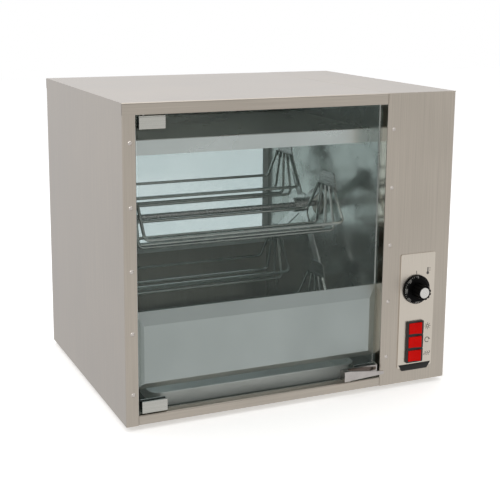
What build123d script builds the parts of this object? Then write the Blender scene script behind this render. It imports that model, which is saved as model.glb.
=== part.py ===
"""Countertop electric chicken rotisserie with a glass door and a carousel of wire baskets.

Millimetres. X runs to the right along the front, the front faces -Y, and the feet stand
on Z = 0. The origin lies under the middle of the overall box. At rest the door is closed,
the carousel's first arm leans back at ARM_REST and the rocker switches are off.
"""
import os
from math import cos, pi, radians, sin, sqrt

from build123d import *

os.makedirs("parts", exist_ok=True)

# Casing
CASE_W = 580.0
CASE_D = 458.0
CASE_H = 500.0
SHEET = 1.2
BEND = 2.5
SEAM = 0.6
STRIP_W = 20.0
TOP_RAIL = 18.0
BOTTOM_RAIL = 16.0
SILL_LIP = 18.0
REAR_FLANGE = 20.0
COLUMN_W = 130.0
JAMB_D = 24.0
LINER_SETIN = 22.0
PARTITION_SETIN = 2.0
FLANGE_LAP = 14.0
FOOT_H = 8.0
FOOT_R = 16.0
FOOT_INSET = 48.0
FOOT_TAPER = 8.0
RIVET_R = 3.5
RIVET_RISE = 1.2
RIVET_INSET = 12.0
RIVET_COUNT = 5
RIVET_SIDES = 16
RIVET_LOW = 51.0
RIVET_DROP = 59.0
VENT_COUNT = 7
VENT_W = 60.0
VENT_H = 4.0
VENT_SPACING = 12.0
VENT_DROP = 140.0

# Rear window
WINDOW_LEFT = 45.0
WINDOW_RIGHT = 10.0
WINDOW_SILL = 174.0
WINDOW_DROP = 60.0
WINDOW_R = 4.0
REAR_GLASS_T = 4.0
REAR_GLASS_LAP = 10.0
REAR_FRAME_SIDE = 14.0
REAR_FRAME_SILL = 20.0
POCKET_CLEAR = 0.3

# Hood and heating elements
HOOD_FRONT = 60.0
HOOD_DEPTH = 338.0
HOOD_DROP = 63.0
HOOD_LIP = 25.0
ELEMENT_R = 4.0
ELEMENT_BELOW = 18.0
ELEMENT_SIDES = 12
ELEMENT_HALF = 28.0
ELEMENT_OFFSET = 75.0
ELEMENT_LEFT = 34.0
ELEMENT_TAIL = 26.0
ELEMENT_CLEAR = 0.1
FITTING_AF = 16.0
FITTING_L = 6.0
HANGER_T = 2.0
HANGER_BELOW = 9.0
HANGER_SETIN = 80.0

# Splash guard and drip tray
GUARD_LOW = 50.0
GUARD_TOP = 174.5
GUARD_RISE = 7.0
FIELD_LOW = 60.0
FIELD_TOP = 153.0
FIELD_SIDE = 14.0
TRAY_Z = 12.0
TRAY_H = 25.0
TRAY_GAP = 3.0
TRAY_SIDE = 28.0
TRAY_RIM = 6.0
TRAY_TAPER = 1.0
TRAY_R = 14.0
TRAY_BACK = 30.0
RUNNER_W = 24.0
RUNNER_INSET = 70.0
RUNNER_L = 380.0

# Door
GLASS_T = 6.0
GLASS_SETBACK = 3.0
GLASS_LEFT = 25.0
GLASS_RIGHT_GAP = 8.0
DOOR_GAP = 1.5
HINGE_INSET = 34.0
PIN_R = 2.5
PIN_REACH = 9.0
PIN_CLEAR = 0.1
CLAMP_W = 41.0
CLAMP_H = 20.0
CLAMP_T = 2.5
CLAMP_BEND = 3.0
CLAMP_LEFT = 26.0
PAD_T = 1.0
BLOCK_W = 23.0
BLOCK_D = 14.0
HANDLE_W = 75.0
HANDLE_H = 17.0
HANDLE_RISE = 7.0
HANDLE_T = 3.0
HANDLE_OUT = 16.0
HANDLE_END = 11.0
HANDLE_BACK = 40.0
GRIP_TIP_LOW = 4.0
GRIP_TIP_HIGH = 9.0

# Rotor
ROTOR_SHIFT = 1.0
ROTOR_HEAD = 5.0
ROTOR_FOOT = 24.5
ROTOR_FACE = 5.0
SHAFT_R = 5.0
SHAFT_TAIL = 13.0
FIT_CLEAR = 0.05
RUN_CLEAR = 0.08
SPIDER_LEFT = 25.0
SPIDER_RIGHT = 33.0
SPIDER_T = 3.0
SPIDER_HUB_R = 22.0
ARM_W = 16.0
ARM_COUNT = 4
ARM_REST = 56.0
COLLAR_R = 13.0
COLLAR_L = 20.0
SET_SCREW_R = 2.5
BEARING_R = 12.0
BEARING_FLANGE_R = 22.0
BEARING_FLANGE_T = 3.0
BEARING_L = 9.0

# Baskets
WIRE_R = 2.5
WIRE_BEND = 9.0
WIRE_COUNT = 5
WIRE_SIDES = 8
BASKET_GAP = 19.9
BASKET_RIM = 68.0
BASKET_DROP = 91.0
NECK_DROP = 15.0
NECK_PITCH = 13.5
PLATE_GAP = 1.5
PLATE_T = 2.0
PLATE_TOP_R = 9.0
PLATE_FOOT_R = 4.0
PLATE_HEAD = 16.0
PLATE_HALF = 28.0
PLATE_DROP = 21.0
BASKET_PIN_R = 4.0
BASKET_PIN_OUT = 1.5

# Drive
STANDOFF_R = 5.0
STANDOFF_L = 24.0
GEARBOX_X = 40.0
GEARBOX_Y = 70.0
GEARBOX_Z = 88.0
GEARBOX_R = 8.0
MOTOR_R = 28.0
MOTOR_L = 52.0
MOTOR_CAP_R = 20.0
MOTOR_CAP_L = 6.0
OUTPUT_R = 5.0
OUTPUT_DEPTH = 14.0
COUPLING_R = 11.0
COUPLING_GAP = 1.0

# Controls
CONTROL_INSET = 64.5
PANEL_W = 68.0
PANEL_H = 201.5
PANEL_T = 1.5
PANEL_R = 3.0
PANEL_LOW = 26.0
PANEL_SHIFT = 2.5
KNOB_RISE = 165.0
KNOB_R = 25.0
KNOB_SKIRT = 6.0
KNOB_BARREL_R = 12.5
KNOB_H = 26.0
KNOB_GAP = 1.0
KNOB_RECESS_R = 11.0
KNOB_RECESS_H = 5.0
KNOB_CAP_R = 9.0
KNOB_CAP_H = 1.5
FLUTE_COUNT = 12
FLUTE_R = 1.5
STEM_R = 3.0
STEM_L = 30.0
STEM_IN = 10.0
BUSH_R = 5.0
BUSH_OUT = 4.0
HOLE_CLEAR = 0.2
THERMOSTAT_W = 44.0
THERMOSTAT_D = 32.0
SWITCH_RISE = 72.0
SWITCH_PITCH = 24.5
BEZEL_W = 33.0
BEZEL_H = 24.3
BEZEL_T = 3.5
BEZEL_R = 1.5
SWITCH_W = 29.6
SWITCH_H = 21.6
SWITCH_D = 22.0
WELL_W = 26.0
WELL_H = 19.5
WELL_D = 11.0
TAB_W = 6.3
TAB_T = 0.8
TAB_L = 8.0
ROCKER_CLEAR = 0.3
ROCKER_FRONT = 5.5
ROCKER_DISH = 1.5
ROCKER_BACK = 4.0
ROCKER_PIVOT = 3.0
ROCKER_TILT = 8.0
TRUNNION_R = 1.5
TRUNNION_OUT = 0.9

# Mains inlet
GLAND_RISE = 45.0
GLAND_AF = 24.0
GLAND_FLANGE = 5.0
GLAND_DOME_R = 10.0
GLAND_REACH = 16.0
GLAND_THREAD_R = 8.0
GLAND_THREAD_L = 9.0
CORD_HOLE_R = 4.0
TERMINAL_W = 60.0
TERMINAL_D = 22.0
TERMINAL_H = 20.0
TERMINAL_WAYS = 5
TERMINAL_SETBACK = 60.0
TERMINAL_HOLE_R = 3.0

# Planes and lines that the pieces share
KNOB_REACH = PANEL_T + KNOB_GAP + KNOB_H
LEFT = -CASE_W / 2
RIGHT = CASE_W / 2
FRONT = KNOB_REACH - (CASE_D + KNOB_REACH + GLAND_REACH) / 2
BACK = FRONT + CASE_D
BASE = FOOT_H
TOP = BASE + CASE_H
FLOOR = BASE + SHEET
CEILING = TOP - SHEET
COLUMN_X = RIGHT - COLUMN_W
LINER_X = LEFT + LINER_SETIN
PARTITION_X = COLUMN_X - PARTITION_SETIN
REAR_IN = BACK - 2 * SHEET
SILL = BASE + BOTTOM_RAIL
LINTEL = TOP - TOP_RAIL
HOOD_Z = TOP - HOOD_DROP
HOOD_LOW = HOOD_Z - HOOD_LIP
ELEMENT_Z = HOOD_Z - ELEMENT_BELOW
TRAY_TOP = BASE + TRAY_Z + TRAY_H
ROTOR_Y = (FRONT + BACK) / 2 + ROTOR_SHIFT
ROTOR_ROOM = HOOD_LOW - ROTOR_HEAD - TRAY_TOP - ROTOR_FOOT
ROTOR_REACH = ROTOR_Y - FRONT - JAMB_D - ROTOR_FACE
FIT_HEIGHT = (ROTOR_ROOM - PLATE_TOP_R - BASKET_DROP - WIRE_R) / 2
FIT_DEPTH = (ROTOR_REACH + BASKET_GAP - WIRE_R) / (1 + sin(pi / ARM_COUNT))
PIVOT_R = min(FIT_HEIGHT, FIT_DEPTH)
BASKET_HALF = PIVOT_R * sin(pi / ARM_COUNT) - BASKET_GAP
ROTOR_Z = HOOD_LOW - ROTOR_HEAD - PLATE_TOP_R - PIVOT_R
WINDOW_X0 = LEFT + WINDOW_LEFT
WINDOW_X1 = PARTITION_X - WINDOW_RIGHT
WINDOW_W = WINDOW_X1 - WINDOW_X0
WINDOW_H = CASE_H - WINDOW_DROP - WINDOW_SILL
WINDOW_X = (WINDOW_X0 + WINDOW_X1) / 2
WINDOW_Z = BASE + WINDOW_SILL + WINDOW_H / 2
FRAME_LOW = WINDOW_Z - WINDOW_H / 2 - REAR_FRAME_SILL
FRAME_HIGH = WINDOW_Z + WINDOW_H / 2 + REAR_FRAME_SILL
FRAME_Y = REAR_IN - REAR_GLASS_T - SHEET
CAVITY_W = PARTITION_X - LINER_X
CAVITY_X = (PARTITION_X + LINER_X) / 2
CONTROL_X = RIGHT - CONTROL_INSET
PANEL_Y = FRONT - PANEL_T
KNOB_Z = BASE + KNOB_RISE
HINGE_X = LEFT + HINGE_INSET
GLASS_Y = FRONT + GLASS_SETBACK
HINGE_Y = GLASS_Y + GLASS_T / 2
GLASS_LOW = SILL + DOOR_GAP + CLAMP_T
GLASS_HIGH = LINTEL - DOOR_GAP - CLAMP_T


def save(piece, name):
    """Label a finished piece and write it to its own file."""
    piece.label = name
    export_step(piece, f"parts/{name}.step")


def bent_sheet(points, side, gauge=SHEET, radius=BEND):
    """Section of a sheet folded along an open line, with the sheet on one side of it."""
    with BuildSketch() as section:
        with BuildLine():
            line = FilletPolyline(points, radius=radius)
            offset(line, amount=gauge, side=side)
        make_face()
    return section.sketch


def cut_block(low, high):
    """Cut the block between two corners out of the piece being built."""
    size = Vector(high) - Vector(low)
    with Locations(low):
        Box(size.X, size.Y, size.Z, align=(Align.MIN, Align.MIN, Align.MIN), mode=Mode.SUBTRACT)


def facing_front(x, y, z):
    """Plane whose own Z points out of the front, with X to the right and Y up."""
    return Plane(origin=(x, y, z), x_dir=(1, 0, 0), z_dir=(0, -1, 0))


def facing_side(x, y, z, way=1):
    """Plane whose own Z points along X (way 1) or against it (way -1), with its own Y up."""
    return Plane(origin=(x, y, z), x_dir=(0, way, 0), z_dir=(way, 0, 0))


# Casing: folded stainless sheets
with BuildPart() as left_side_panel:
    with BuildSketch(Plane.XY.offset(BASE)):
        add(bent_sheet([(LEFT + STRIP_W, FRONT), (LEFT, FRONT), (LEFT, BACK), (LEFT + REAR_FLANGE, BACK)],
                       Side.RIGHT))
    extrude(amount=CASE_H - SHEET)
    cut_block((LEFT, FRONT, LINTEL), (LEFT + STRIP_W, FRONT + BEND, TOP))
    cut_block((LEFT, BACK - BEND, LINTEL), (LEFT + REAR_FLANGE, BACK, TOP))
save(left_side_panel.part, "left_side_panel")

with BuildPart() as top_cover:
    with BuildSketch(Plane.YZ.offset(LEFT)):
        add(bent_sheet([(FRONT, LINTEL), (FRONT, TOP), (BACK, TOP), (BACK, LINTEL)], Side.RIGHT))
    extrude(amount=CASE_W - COLUMN_W - SEAM)
save(top_cover.part, "top_cover")

with BuildPart() as base_pan:
    with BuildSketch(Plane.YZ.offset(LEFT + SHEET)):
        add(bent_sheet([(FRONT + SILL_LIP, SILL), (FRONT, SILL), (FRONT, BASE), (BACK, BASE), (BACK, SILL)],
                       Side.LEFT))
    extrude(amount=CASE_W - 2 * SHEET)
    cut_block((LEFT, FRONT, BASE), (LEFT + STRIP_W + SEAM, FRONT + BEND, SILL))
    cut_block((LEFT, FRONT + SHEET, FLOOR), (LINER_X + SEAM, FRONT + SILL_LIP, SILL))
    cut_block((LEFT, BACK - BEND, BASE), (LEFT + REAR_FLANGE + SEAM, BACK, SILL))
    cut_block((COLUMN_X - SEAM, FRONT, FLOOR), (RIGHT, FRONT + SILL_LIP, SILL))
    cut_block((COLUMN_X - SEAM, FRONT, BASE), (RIGHT, FRONT + BEND, SILL))
    cut_block((COLUMN_X - SEAM, FRONT, BASE), (COLUMN_X + BEND, FRONT + JAMB_D + SEAM, SILL))
    cut_block((COLUMN_X - SEAM, BACK - BEND, BASE), (RIGHT, BACK, SILL))
    with Locations((HINGE_X, HINGE_Y, SILL)):
        Hole(PIN_R + PIN_CLEAR, depth=SHEET)
save(base_pan.part, "base_pan")

with BuildPart() as control_column:
    with BuildSketch(Plane.XY.offset(BASE)):
        add(bent_sheet([(COLUMN_X, FRONT + JAMB_D), (COLUMN_X, FRONT), (RIGHT, FRONT), (RIGHT, BACK)],
                       Side.LEFT))
    extrude(amount=CASE_H - SHEET)
    with BuildSketch(facing_front(CONTROL_X, FRONT + SHEET, BASE)):
        with Locations((0, KNOB_RISE)):
            Circle(BUSH_R + HOLE_CLEAR)
        with Locations((0, SWITCH_RISE)):
            with GridLocations(0, SWITCH_PITCH, 1, 3):
                Rectangle(SWITCH_W + 2 * HOLE_CLEAR, SWITCH_H + 2 * HOLE_CLEAR)
    extrude(amount=SHEET, mode=Mode.SUBTRACT)
save(control_column.part, "control_column")

with BuildPart() as column_back:
    with BuildSketch(facing_front((COLUMN_X + RIGHT - SHEET) / 2, BACK, (BASE + CEILING) / 2)):
        Rectangle(COLUMN_W - SHEET, CASE_H - SHEET)
    extrude(amount=SHEET)
    with BuildSketch(facing_front(CONTROL_X, BACK, BASE)):
        with Locations((0, GLAND_RISE)):
            Circle(GLAND_THREAD_R + HOLE_CLEAR)
        with Locations((0, CASE_H - VENT_DROP)):
            with GridLocations(0, VENT_SPACING, 1, VENT_COUNT):
                SlotOverall(VENT_W, VENT_H)
    extrude(amount=SHEET, mode=Mode.SUBTRACT)
save(column_back.part, "column_back")

with BuildPart() as column_lid:
    with BuildSketch(Plane.XY.offset(CEILING)):
        with Locations(((COLUMN_X + RIGHT) / 2, (FRONT + BACK) / 2)):
            Rectangle(COLUMN_W, CASE_D)
    extrude(amount=SHEET)
    chamfer(column_lid.faces().sort_by(Axis.Z)[-1].edges(), length=SHEET / 2)
save(column_lid.part, "column_lid")

with BuildPart() as partition:
    with BuildSketch(Plane.XY.offset(FLOOR)):
        add(bent_sheet([(COLUMN_X + FLANGE_LAP, FRONT + JAMB_D), (PARTITION_X, FRONT + JAMB_D),
                        (PARTITION_X, REAR_IN)], Side.RIGHT))
    extrude(amount=CEILING - FLOOR)
    with BuildSketch(facing_side(PARTITION_X, ROTOR_Y, ROTOR_Z)):
        Circle(BEARING_R + HOLE_CLEAR)
        for middle in (-ELEMENT_OFFSET, ELEMENT_OFFSET):
            with Locations((middle, ELEMENT_Z - ROTOR_Z)):
                with GridLocations(2 * ELEMENT_HALF, 0, 2, 1):
                    Circle(ELEMENT_R + HOLE_CLEAR)
    extrude(amount=SHEET, mode=Mode.SUBTRACT)
    # The window frame passes through a notch in the partition's rear edge
    cut_block((PARTITION_X, FRAME_Y - SEAM, FRAME_LOW - SEAM), (COLUMN_X, REAR_IN, FRAME_HIGH + SEAM))
save(partition.part, "partition")

with BuildPart() as left_liner:
    with BuildSketch(Plane.XY.offset(FLOOR)):
        add(bent_sheet([(LINER_X - FLANGE_LAP, FRONT + SHEET), (LINER_X, FRONT + SHEET),
                        (LINER_X, REAR_IN)], Side.LEFT))
    extrude(amount=CEILING - FLOOR)
    cut_block((LEFT, FRONT, TOP - BEND), (LINER_X, FRONT + BEND, TOP))
    with BuildSketch(facing_side(LINER_X - SHEET, ROTOR_Y, ROTOR_Z)):
        Circle(BEARING_R + HOLE_CLEAR)
    extrude(amount=SHEET, mode=Mode.SUBTRACT)
save(left_liner.part, "left_liner")

with BuildPart() as feet:
    with BuildSketch(Plane.XY.offset(BASE)):
        with Locations((0, (FRONT + BACK) / 2)):
            with GridLocations(CASE_W - 2 * FOOT_INSET, CASE_D - 2 * FOOT_INSET, 2, 2):
                Circle(FOOT_R)
    extrude(amount=-FOOT_H, taper=FOOT_TAPER)
save(feet.part, "feet")

with BuildPart() as panel_rivets:
    spacing = (CASE_H - RIVET_LOW - RIVET_DROP) / (RIVET_COUNT - 1)
    for edge_x in (LEFT + RIVET_INSET, COLUMN_X + RIVET_INSET):
        for row in range(RIVET_COUNT):
            with BuildSketch(facing_front(edge_x, FRONT, BASE + RIVET_LOW + row * spacing)):
                RegularPolygon(RIVET_R, RIVET_SIDES)
            extrude(amount=RIVET_RISE, taper=45)
save(panel_rivets.part, "panel_rivets")

# Rear wall: panel with a window, its glass and the frame that holds it
with BuildPart() as rear_panel:
    panel_x0 = LEFT + BEND
    panel_x1 = COLUMN_X + FLANGE_LAP
    with BuildSketch(facing_front((panel_x0 + panel_x1) / 2, BACK - SHEET, (BASE + TOP) / 2)):
        Rectangle(panel_x1 - panel_x0, CASE_H - 2 * BEND)
    extrude(amount=SHEET)
    with BuildSketch(facing_front(WINDOW_X, BACK - SHEET, WINDOW_Z)):
        RectangleRounded(WINDOW_W, WINDOW_H, WINDOW_R)
    extrude(amount=SHEET, mode=Mode.SUBTRACT)
save(rear_panel.part, "rear_panel")

with BuildPart() as rear_glass:
    with BuildSketch(facing_front(WINDOW_X, REAR_IN, WINDOW_Z)):
        RectangleRounded(WINDOW_W + 2 * REAR_GLASS_LAP, WINDOW_H + 2 * REAR_GLASS_LAP, WINDOW_R)
    extrude(amount=REAR_GLASS_T)
save(rear_glass.part, "rear_glass")

with BuildPart() as rear_window_frame:
    with BuildSketch(facing_front(WINDOW_X, REAR_IN, WINDOW_Z)):
        Rectangle(WINDOW_W + 2 * REAR_FRAME_SIDE, WINDOW_H + 2 * REAR_FRAME_SILL)
        RectangleRounded(WINDOW_W, WINDOW_H, WINDOW_R, mode=Mode.SUBTRACT)
    extrude(amount=REAR_GLASS_T + SHEET)
    pocket = 2 * (REAR_GLASS_LAP + POCKET_CLEAR)
    with BuildSketch(facing_front(WINDOW_X, REAR_IN, WINDOW_Z)):
        RectangleRounded(WINDOW_W + pocket, WINDOW_H + pocket, WINDOW_R)
    extrude(amount=REAR_GLASS_T, mode=Mode.SUBTRACT)
save(rear_window_frame.part, "rear_window_frame")

# Reflector hood and the tubular elements under it
with BuildPart() as reflector_hood:
    hood_y0 = FRONT + HOOD_FRONT
    hood_y1 = hood_y0 + HOOD_DEPTH
    with BuildSketch(Plane.YZ.offset(LINER_X)):
        add(bent_sheet([(hood_y0, HOOD_LOW), (hood_y0, HOOD_Z), (hood_y1, HOOD_Z), (hood_y1, HOOD_LOW)],
                       Side.RIGHT))
    extrude(amount=CAVITY_W)
save(reflector_hood.part, "reflector_hood")


def heating_element(middle_y):
    """One tubular element bent to a U, with both tails through the partition."""
    tail_x = PARTITION_X + SHEET + ELEMENT_TAIL
    bend_x = LINER_X + ELEMENT_LEFT
    y0 = middle_y - ELEMENT_HALF
    y1 = middle_y + ELEMENT_HALF
    with BuildPart() as element:
        with BuildLine() as route:
            FilletPolyline((tail_x, y0, ELEMENT_Z), (bend_x, y0, ELEMENT_Z), (bend_x, y1, ELEMENT_Z),
                           (tail_x, y1, ELEMENT_Z), radius=ELEMENT_HALF - SEAM)
        with BuildSketch(Plane(origin=route.line @ 0, z_dir=route.line % 0)):
            RegularPolygon(ELEMENT_R, ELEMENT_SIDES)
        sweep(path=route.line)
    return element.part


save(heating_element(ROTOR_Y - ELEMENT_OFFSET), "heating_element_front")
save(heating_element(ROTOR_Y + ELEMENT_OFFSET), "heating_element_rear")

with BuildPart() as element_fittings:
    for middle in (-ELEMENT_OFFSET, ELEMENT_OFFSET):
        with BuildSketch(facing_side(PARTITION_X + SHEET, ROTOR_Y + middle, ELEMENT_Z)):
            with GridLocations(2 * ELEMENT_HALF, 0, 2, 1):
                RegularPolygon(FITTING_AF / 2, 6, major_radius=False)
                Circle(ELEMENT_R + ELEMENT_CLEAR, mode=Mode.SUBTRACT)
        extrude(amount=FITTING_L)
save(element_fittings.part, "element_fittings")

with BuildPart() as element_hangers:
    hanger_h = ELEMENT_BELOW + HANGER_BELOW - SHEET
    for middle in (-ELEMENT_OFFSET, ELEMENT_OFFSET):
        with BuildSketch(facing_side(LINER_X + HANGER_SETIN, ROTOR_Y + middle, ELEMENT_Z - HANGER_BELOW)):
            with Locations((0, hanger_h / 2)):
                Rectangle(2 * (ELEMENT_HALF + HANGER_BELOW), hanger_h)
            with Locations((0, HANGER_BELOW)):
                with GridLocations(2 * ELEMENT_HALF, 0, 2, 1):
                    Circle(ELEMENT_R + ELEMENT_CLEAR, mode=Mode.SUBTRACT)
        extrude(amount=HANGER_T)
save(element_hangers.part, "element_hangers")

# Splash guard behind the lower glass, and the drip tray on its runners
with BuildPart() as splash_guard:
    guard_w = COLUMN_X - LINER_X
    guard_x = (COLUMN_X + LINER_X) / 2
    guard_y = FRONT + JAMB_D
    with BuildSketch(facing_front(guard_x, guard_y, BASE + (GUARD_LOW + GUARD_TOP) / 2)):
        Rectangle(guard_w, GUARD_TOP - GUARD_LOW)
    with BuildSketch(facing_front(guard_x, guard_y - GUARD_RISE, BASE + (FIELD_LOW + FIELD_TOP) / 2)):
        Rectangle(guard_w - 2 * FIELD_SIDE, FIELD_TOP - FIELD_LOW)
    loft()
    offset(amount=-SHEET, openings=splash_guard.faces().sort_by(Axis.Y)[-1])
save(splash_guard.part, "splash_guard")

TRAY_TOP_W = CAVITY_W - 2 * TRAY_SIDE - 2 * TRAY_RIM
TRAY_Y0 = FRONT + JAMB_D + TRAY_GAP + TRAY_RIM
TRAY_TOP_D = REAR_IN - TRAY_BACK - TRAY_Y0
TRAY_Y = TRAY_Y0 + TRAY_TOP_D / 2

with BuildPart() as drip_tray:
    brim = Plane((CAVITY_X, TRAY_Y, TRAY_TOP))
    with BuildSketch(brim):
        RectangleRounded(TRAY_TOP_W, TRAY_TOP_D, TRAY_R)
    extrude(amount=-TRAY_H, taper=TRAY_TAPER)
    with BuildSketch(brim):
        RectangleRounded(TRAY_TOP_W + 2 * TRAY_RIM, TRAY_TOP_D + 2 * TRAY_RIM, TRAY_R + TRAY_RIM)
    extrude(amount=-SHEET)
    with BuildSketch(brim):
        RectangleRounded(TRAY_TOP_W - 2 * SHEET, TRAY_TOP_D - 2 * SHEET, TRAY_R - SHEET)
    extrude(amount=SHEET - TRAY_H, taper=TRAY_TAPER, mode=Mode.SUBTRACT)
save(drip_tray.part, "drip_tray")

with BuildPart() as tray_runners:
    runner_top = BASE + TRAY_Z
    for middle in (LINER_X + RUNNER_INSET, PARTITION_X - RUNNER_INSET):
        with BuildSketch(Plane.XZ.offset(-(TRAY_Y - RUNNER_L / 2))):
            x0 = middle - RUNNER_W / 2
            x1 = middle + RUNNER_W / 2
            add(bent_sheet([(x0, FLOOR), (x0, runner_top), (x1, runner_top), (x1, FLOOR)], Side.RIGHT))
        extrude(amount=-RUNNER_L)
save(tray_runners.part, "tray_runners")

# Door: frameless glass in two pivot clamps, with a pull handle at the free corner
with BuildPart() as door_glass:
    glass_x0 = LEFT + GLASS_LEFT
    glass_x1 = COLUMN_X - GLASS_RIGHT_GAP
    glass_z = (GLASS_LOW + GLASS_HIGH) / 2
    with BuildSketch(facing_front((glass_x0 + glass_x1) / 2, GLASS_Y + GLASS_T, glass_z)):
        Rectangle(glass_x1 - glass_x0, GLASS_HIGH - GLASS_LOW)
    extrude(amount=GLASS_T)
    chamfer(door_glass.edges().filter_by(Axis.Y, reverse=True), length=PAD_T / 2)
save(door_glass.part, "door_glass")

CLAMP_Y0 = GLASS_Y - PAD_T - CLAMP_T
CLAMP_Y1 = GLASS_Y + GLASS_T + PAD_T + CLAMP_T


def hinge_clamp(web_z, way):
    """Folded clamp over an edge of the glass; way 1 opens downwards, way -1 upwards."""
    side = Side.RIGHT if way > 0 else Side.LEFT
    with BuildPart() as clamp:
        with BuildSketch(Plane.YZ.offset(LEFT + CLAMP_LEFT)):
            add(bent_sheet([(CLAMP_Y0, web_z - way * CLAMP_H), (CLAMP_Y0, web_z), (CLAMP_Y1, web_z),
                            (CLAMP_Y1, web_z - way * CLAMP_H)], side, CLAMP_T, CLAMP_BEND))
        extrude(amount=CLAMP_W)
    return clamp.part


CLAMP_TOP_Z = GLASS_HIGH + CLAMP_T
CLAMP_LOW_Z = GLASS_LOW - CLAMP_T
save(hinge_clamp(CLAMP_TOP_Z, 1), "hinge_clamp_top")
save(hinge_clamp(CLAMP_LOW_Z, -1), "hinge_clamp_bottom")

HANDLE_X1 = COLUMN_X - SEAM
HANDLE_X0 = HANDLE_X1 - HANDLE_W
HANDLE_Z = SILL + HANDLE_RISE
FOLD_X = glass_x1 + PAD_T + HANDLE_T

with BuildPart() as glass_pads:
    pad_h = CLAMP_H - CLAMP_BEND - CLAMP_T
    for pad_y in (GLASS_Y, GLASS_Y + GLASS_T + PAD_T):
        for pad_z in (CLAMP_TOP_Z - CLAMP_H + pad_h / 2, CLAMP_LOW_Z + CLAMP_H - pad_h / 2):
            with BuildSketch(facing_front(LEFT + CLAMP_LEFT + CLAMP_W / 2, pad_y, pad_z)):
                Rectangle(CLAMP_W, pad_h)
            extrude(amount=PAD_T)
        with BuildSketch(facing_front(glass_x1 - HANDLE_BACK / 2, pad_y, HANDLE_Z + HANDLE_H / 2)):
            Rectangle(HANDLE_BACK - 2 * HANDLE_T, HANDLE_H)
        extrude(amount=PAD_T)
save(glass_pads.part, "glass_pads")

with BuildPart() as hinge_pins:
    with BuildSketch(Plane.XY.offset(CLAMP_TOP_Z)):
        with Locations((HINGE_X, HINGE_Y)):
            Circle(PIN_R)
    extrude(amount=PIN_REACH)
    with BuildSketch(Plane.XY.offset(CLAMP_LOW_Z)):
        with Locations((HINGE_X, HINGE_Y)):
            Circle(PIN_R)
    extrude(amount=-PIN_REACH)
save(hinge_pins.part, "hinge_pins")

with BuildPart() as hinge_blocks:
    for low_z, high_z in ((LINTEL, CEILING), (FLOOR, SILL - SHEET)):
        with BuildSketch(Plane.XY.offset(low_z)):
            with Locations((LINER_X + SEAM + BLOCK_W / 2, FRONT + SHEET + BLOCK_D / 2)):
                Rectangle(BLOCK_W, BLOCK_D)
        extrude(amount=high_z - low_z)
    chamfer(hinge_blocks.edges().filter_by(Axis.Z).group_by(Axis.Y)[-1], length=CLAMP_T)
    chamfer(hinge_blocks.edges().filter_by(Axis.X).group_by(Axis.Y)[0], length=BEND - SHEET)
    with Locations((HINGE_X, HINGE_Y, SILL - SHEET), Location((HINGE_X, HINGE_Y, LINTEL), (180, 0, 0))):
        Hole(PIN_R + PIN_CLEAR, depth=PIN_REACH)
save(hinge_blocks.part, "hinge_blocks")

with BuildPart() as door_handle:
    front_y = GLASS_Y - PAD_T - HANDLE_T
    rear_y = GLASS_Y + GLASS_T + PAD_T + HANDLE_T
    with BuildSketch(Plane.XY.offset(HANDLE_Z)):
        add(bent_sheet([(FOLD_X - HANDLE_BACK, rear_y), (FOLD_X, rear_y), (FOLD_X, front_y),
                        (HANDLE_X0 + HANDLE_END, front_y)], Side.LEFT, HANDLE_T, HANDLE_T + PAD_T))
        with Locations((HANDLE_X0 + HANDLE_END / 2, front_y + HANDLE_T - HANDLE_OUT / 2)):
            Rectangle(HANDLE_END, HANDLE_OUT)
    extrude(amount=HANDLE_H)
    with BuildSketch(facing_front(HANDLE_X0, front_y + 2 * HANDLE_T - HANDLE_OUT, HANDLE_Z)):
        with BuildLine():
            Polyline((0, 0), (HANDLE_W, GRIP_TIP_LOW), (HANDLE_W, GRIP_TIP_HIGH), (HANDLE_END, HANDLE_H),
                     (0, HANDLE_H), close=True)
        make_face()
    extrude(amount=HANDLE_T)
save(door_handle.part, "door_handle")

# Rotor: shaft, spiders and hub collars between the two bearings
SPIDER_XS = (LINER_X + SPIDER_LEFT, PARTITION_X - SPIDER_RIGHT)
SHAFT_X1 = PARTITION_X + SHAFT_TAIL
BEARING_REACH = SHEET + BEARING_L
ARM_ANGLES = [ARM_REST + arm * 360 / ARM_COUNT for arm in range(ARM_COUNT)]

with BuildPart() as rotor_shaft:
    shaft_x0 = LINER_X - BEARING_REACH
    with BuildSketch(facing_side(shaft_x0, ROTOR_Y, ROTOR_Z)):
        Circle(SHAFT_R)
    extrude(amount=SHAFT_X1 - shaft_x0)
save(rotor_shaft.part, "rotor_shaft")


def spider(middle_x):
    """Flat plate with four arms, a shaft hole and a pivot hole near each tip."""
    with BuildPart() as plate:
        with BuildSketch(facing_side(middle_x - SPIDER_T / 2, ROTOR_Y, ROTOR_Z)):
            Circle(SPIDER_HUB_R)
            with PolarLocations(PIVOT_R / 2, ARM_COUNT, start_angle=ARM_REST):
                SlotCenterToCenter(PIVOT_R, ARM_W)
            Circle(SHAFT_R + FIT_CLEAR, mode=Mode.SUBTRACT)
            with PolarLocations(PIVOT_R, ARM_COUNT, start_angle=ARM_REST):
                Circle(BASKET_PIN_R + RUN_CLEAR, mode=Mode.SUBTRACT)
        extrude(amount=SPIDER_T)
    return plate.part


save(spider(SPIDER_XS[0]), "spider_left")
save(spider(SPIDER_XS[1]), "spider_right")

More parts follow.
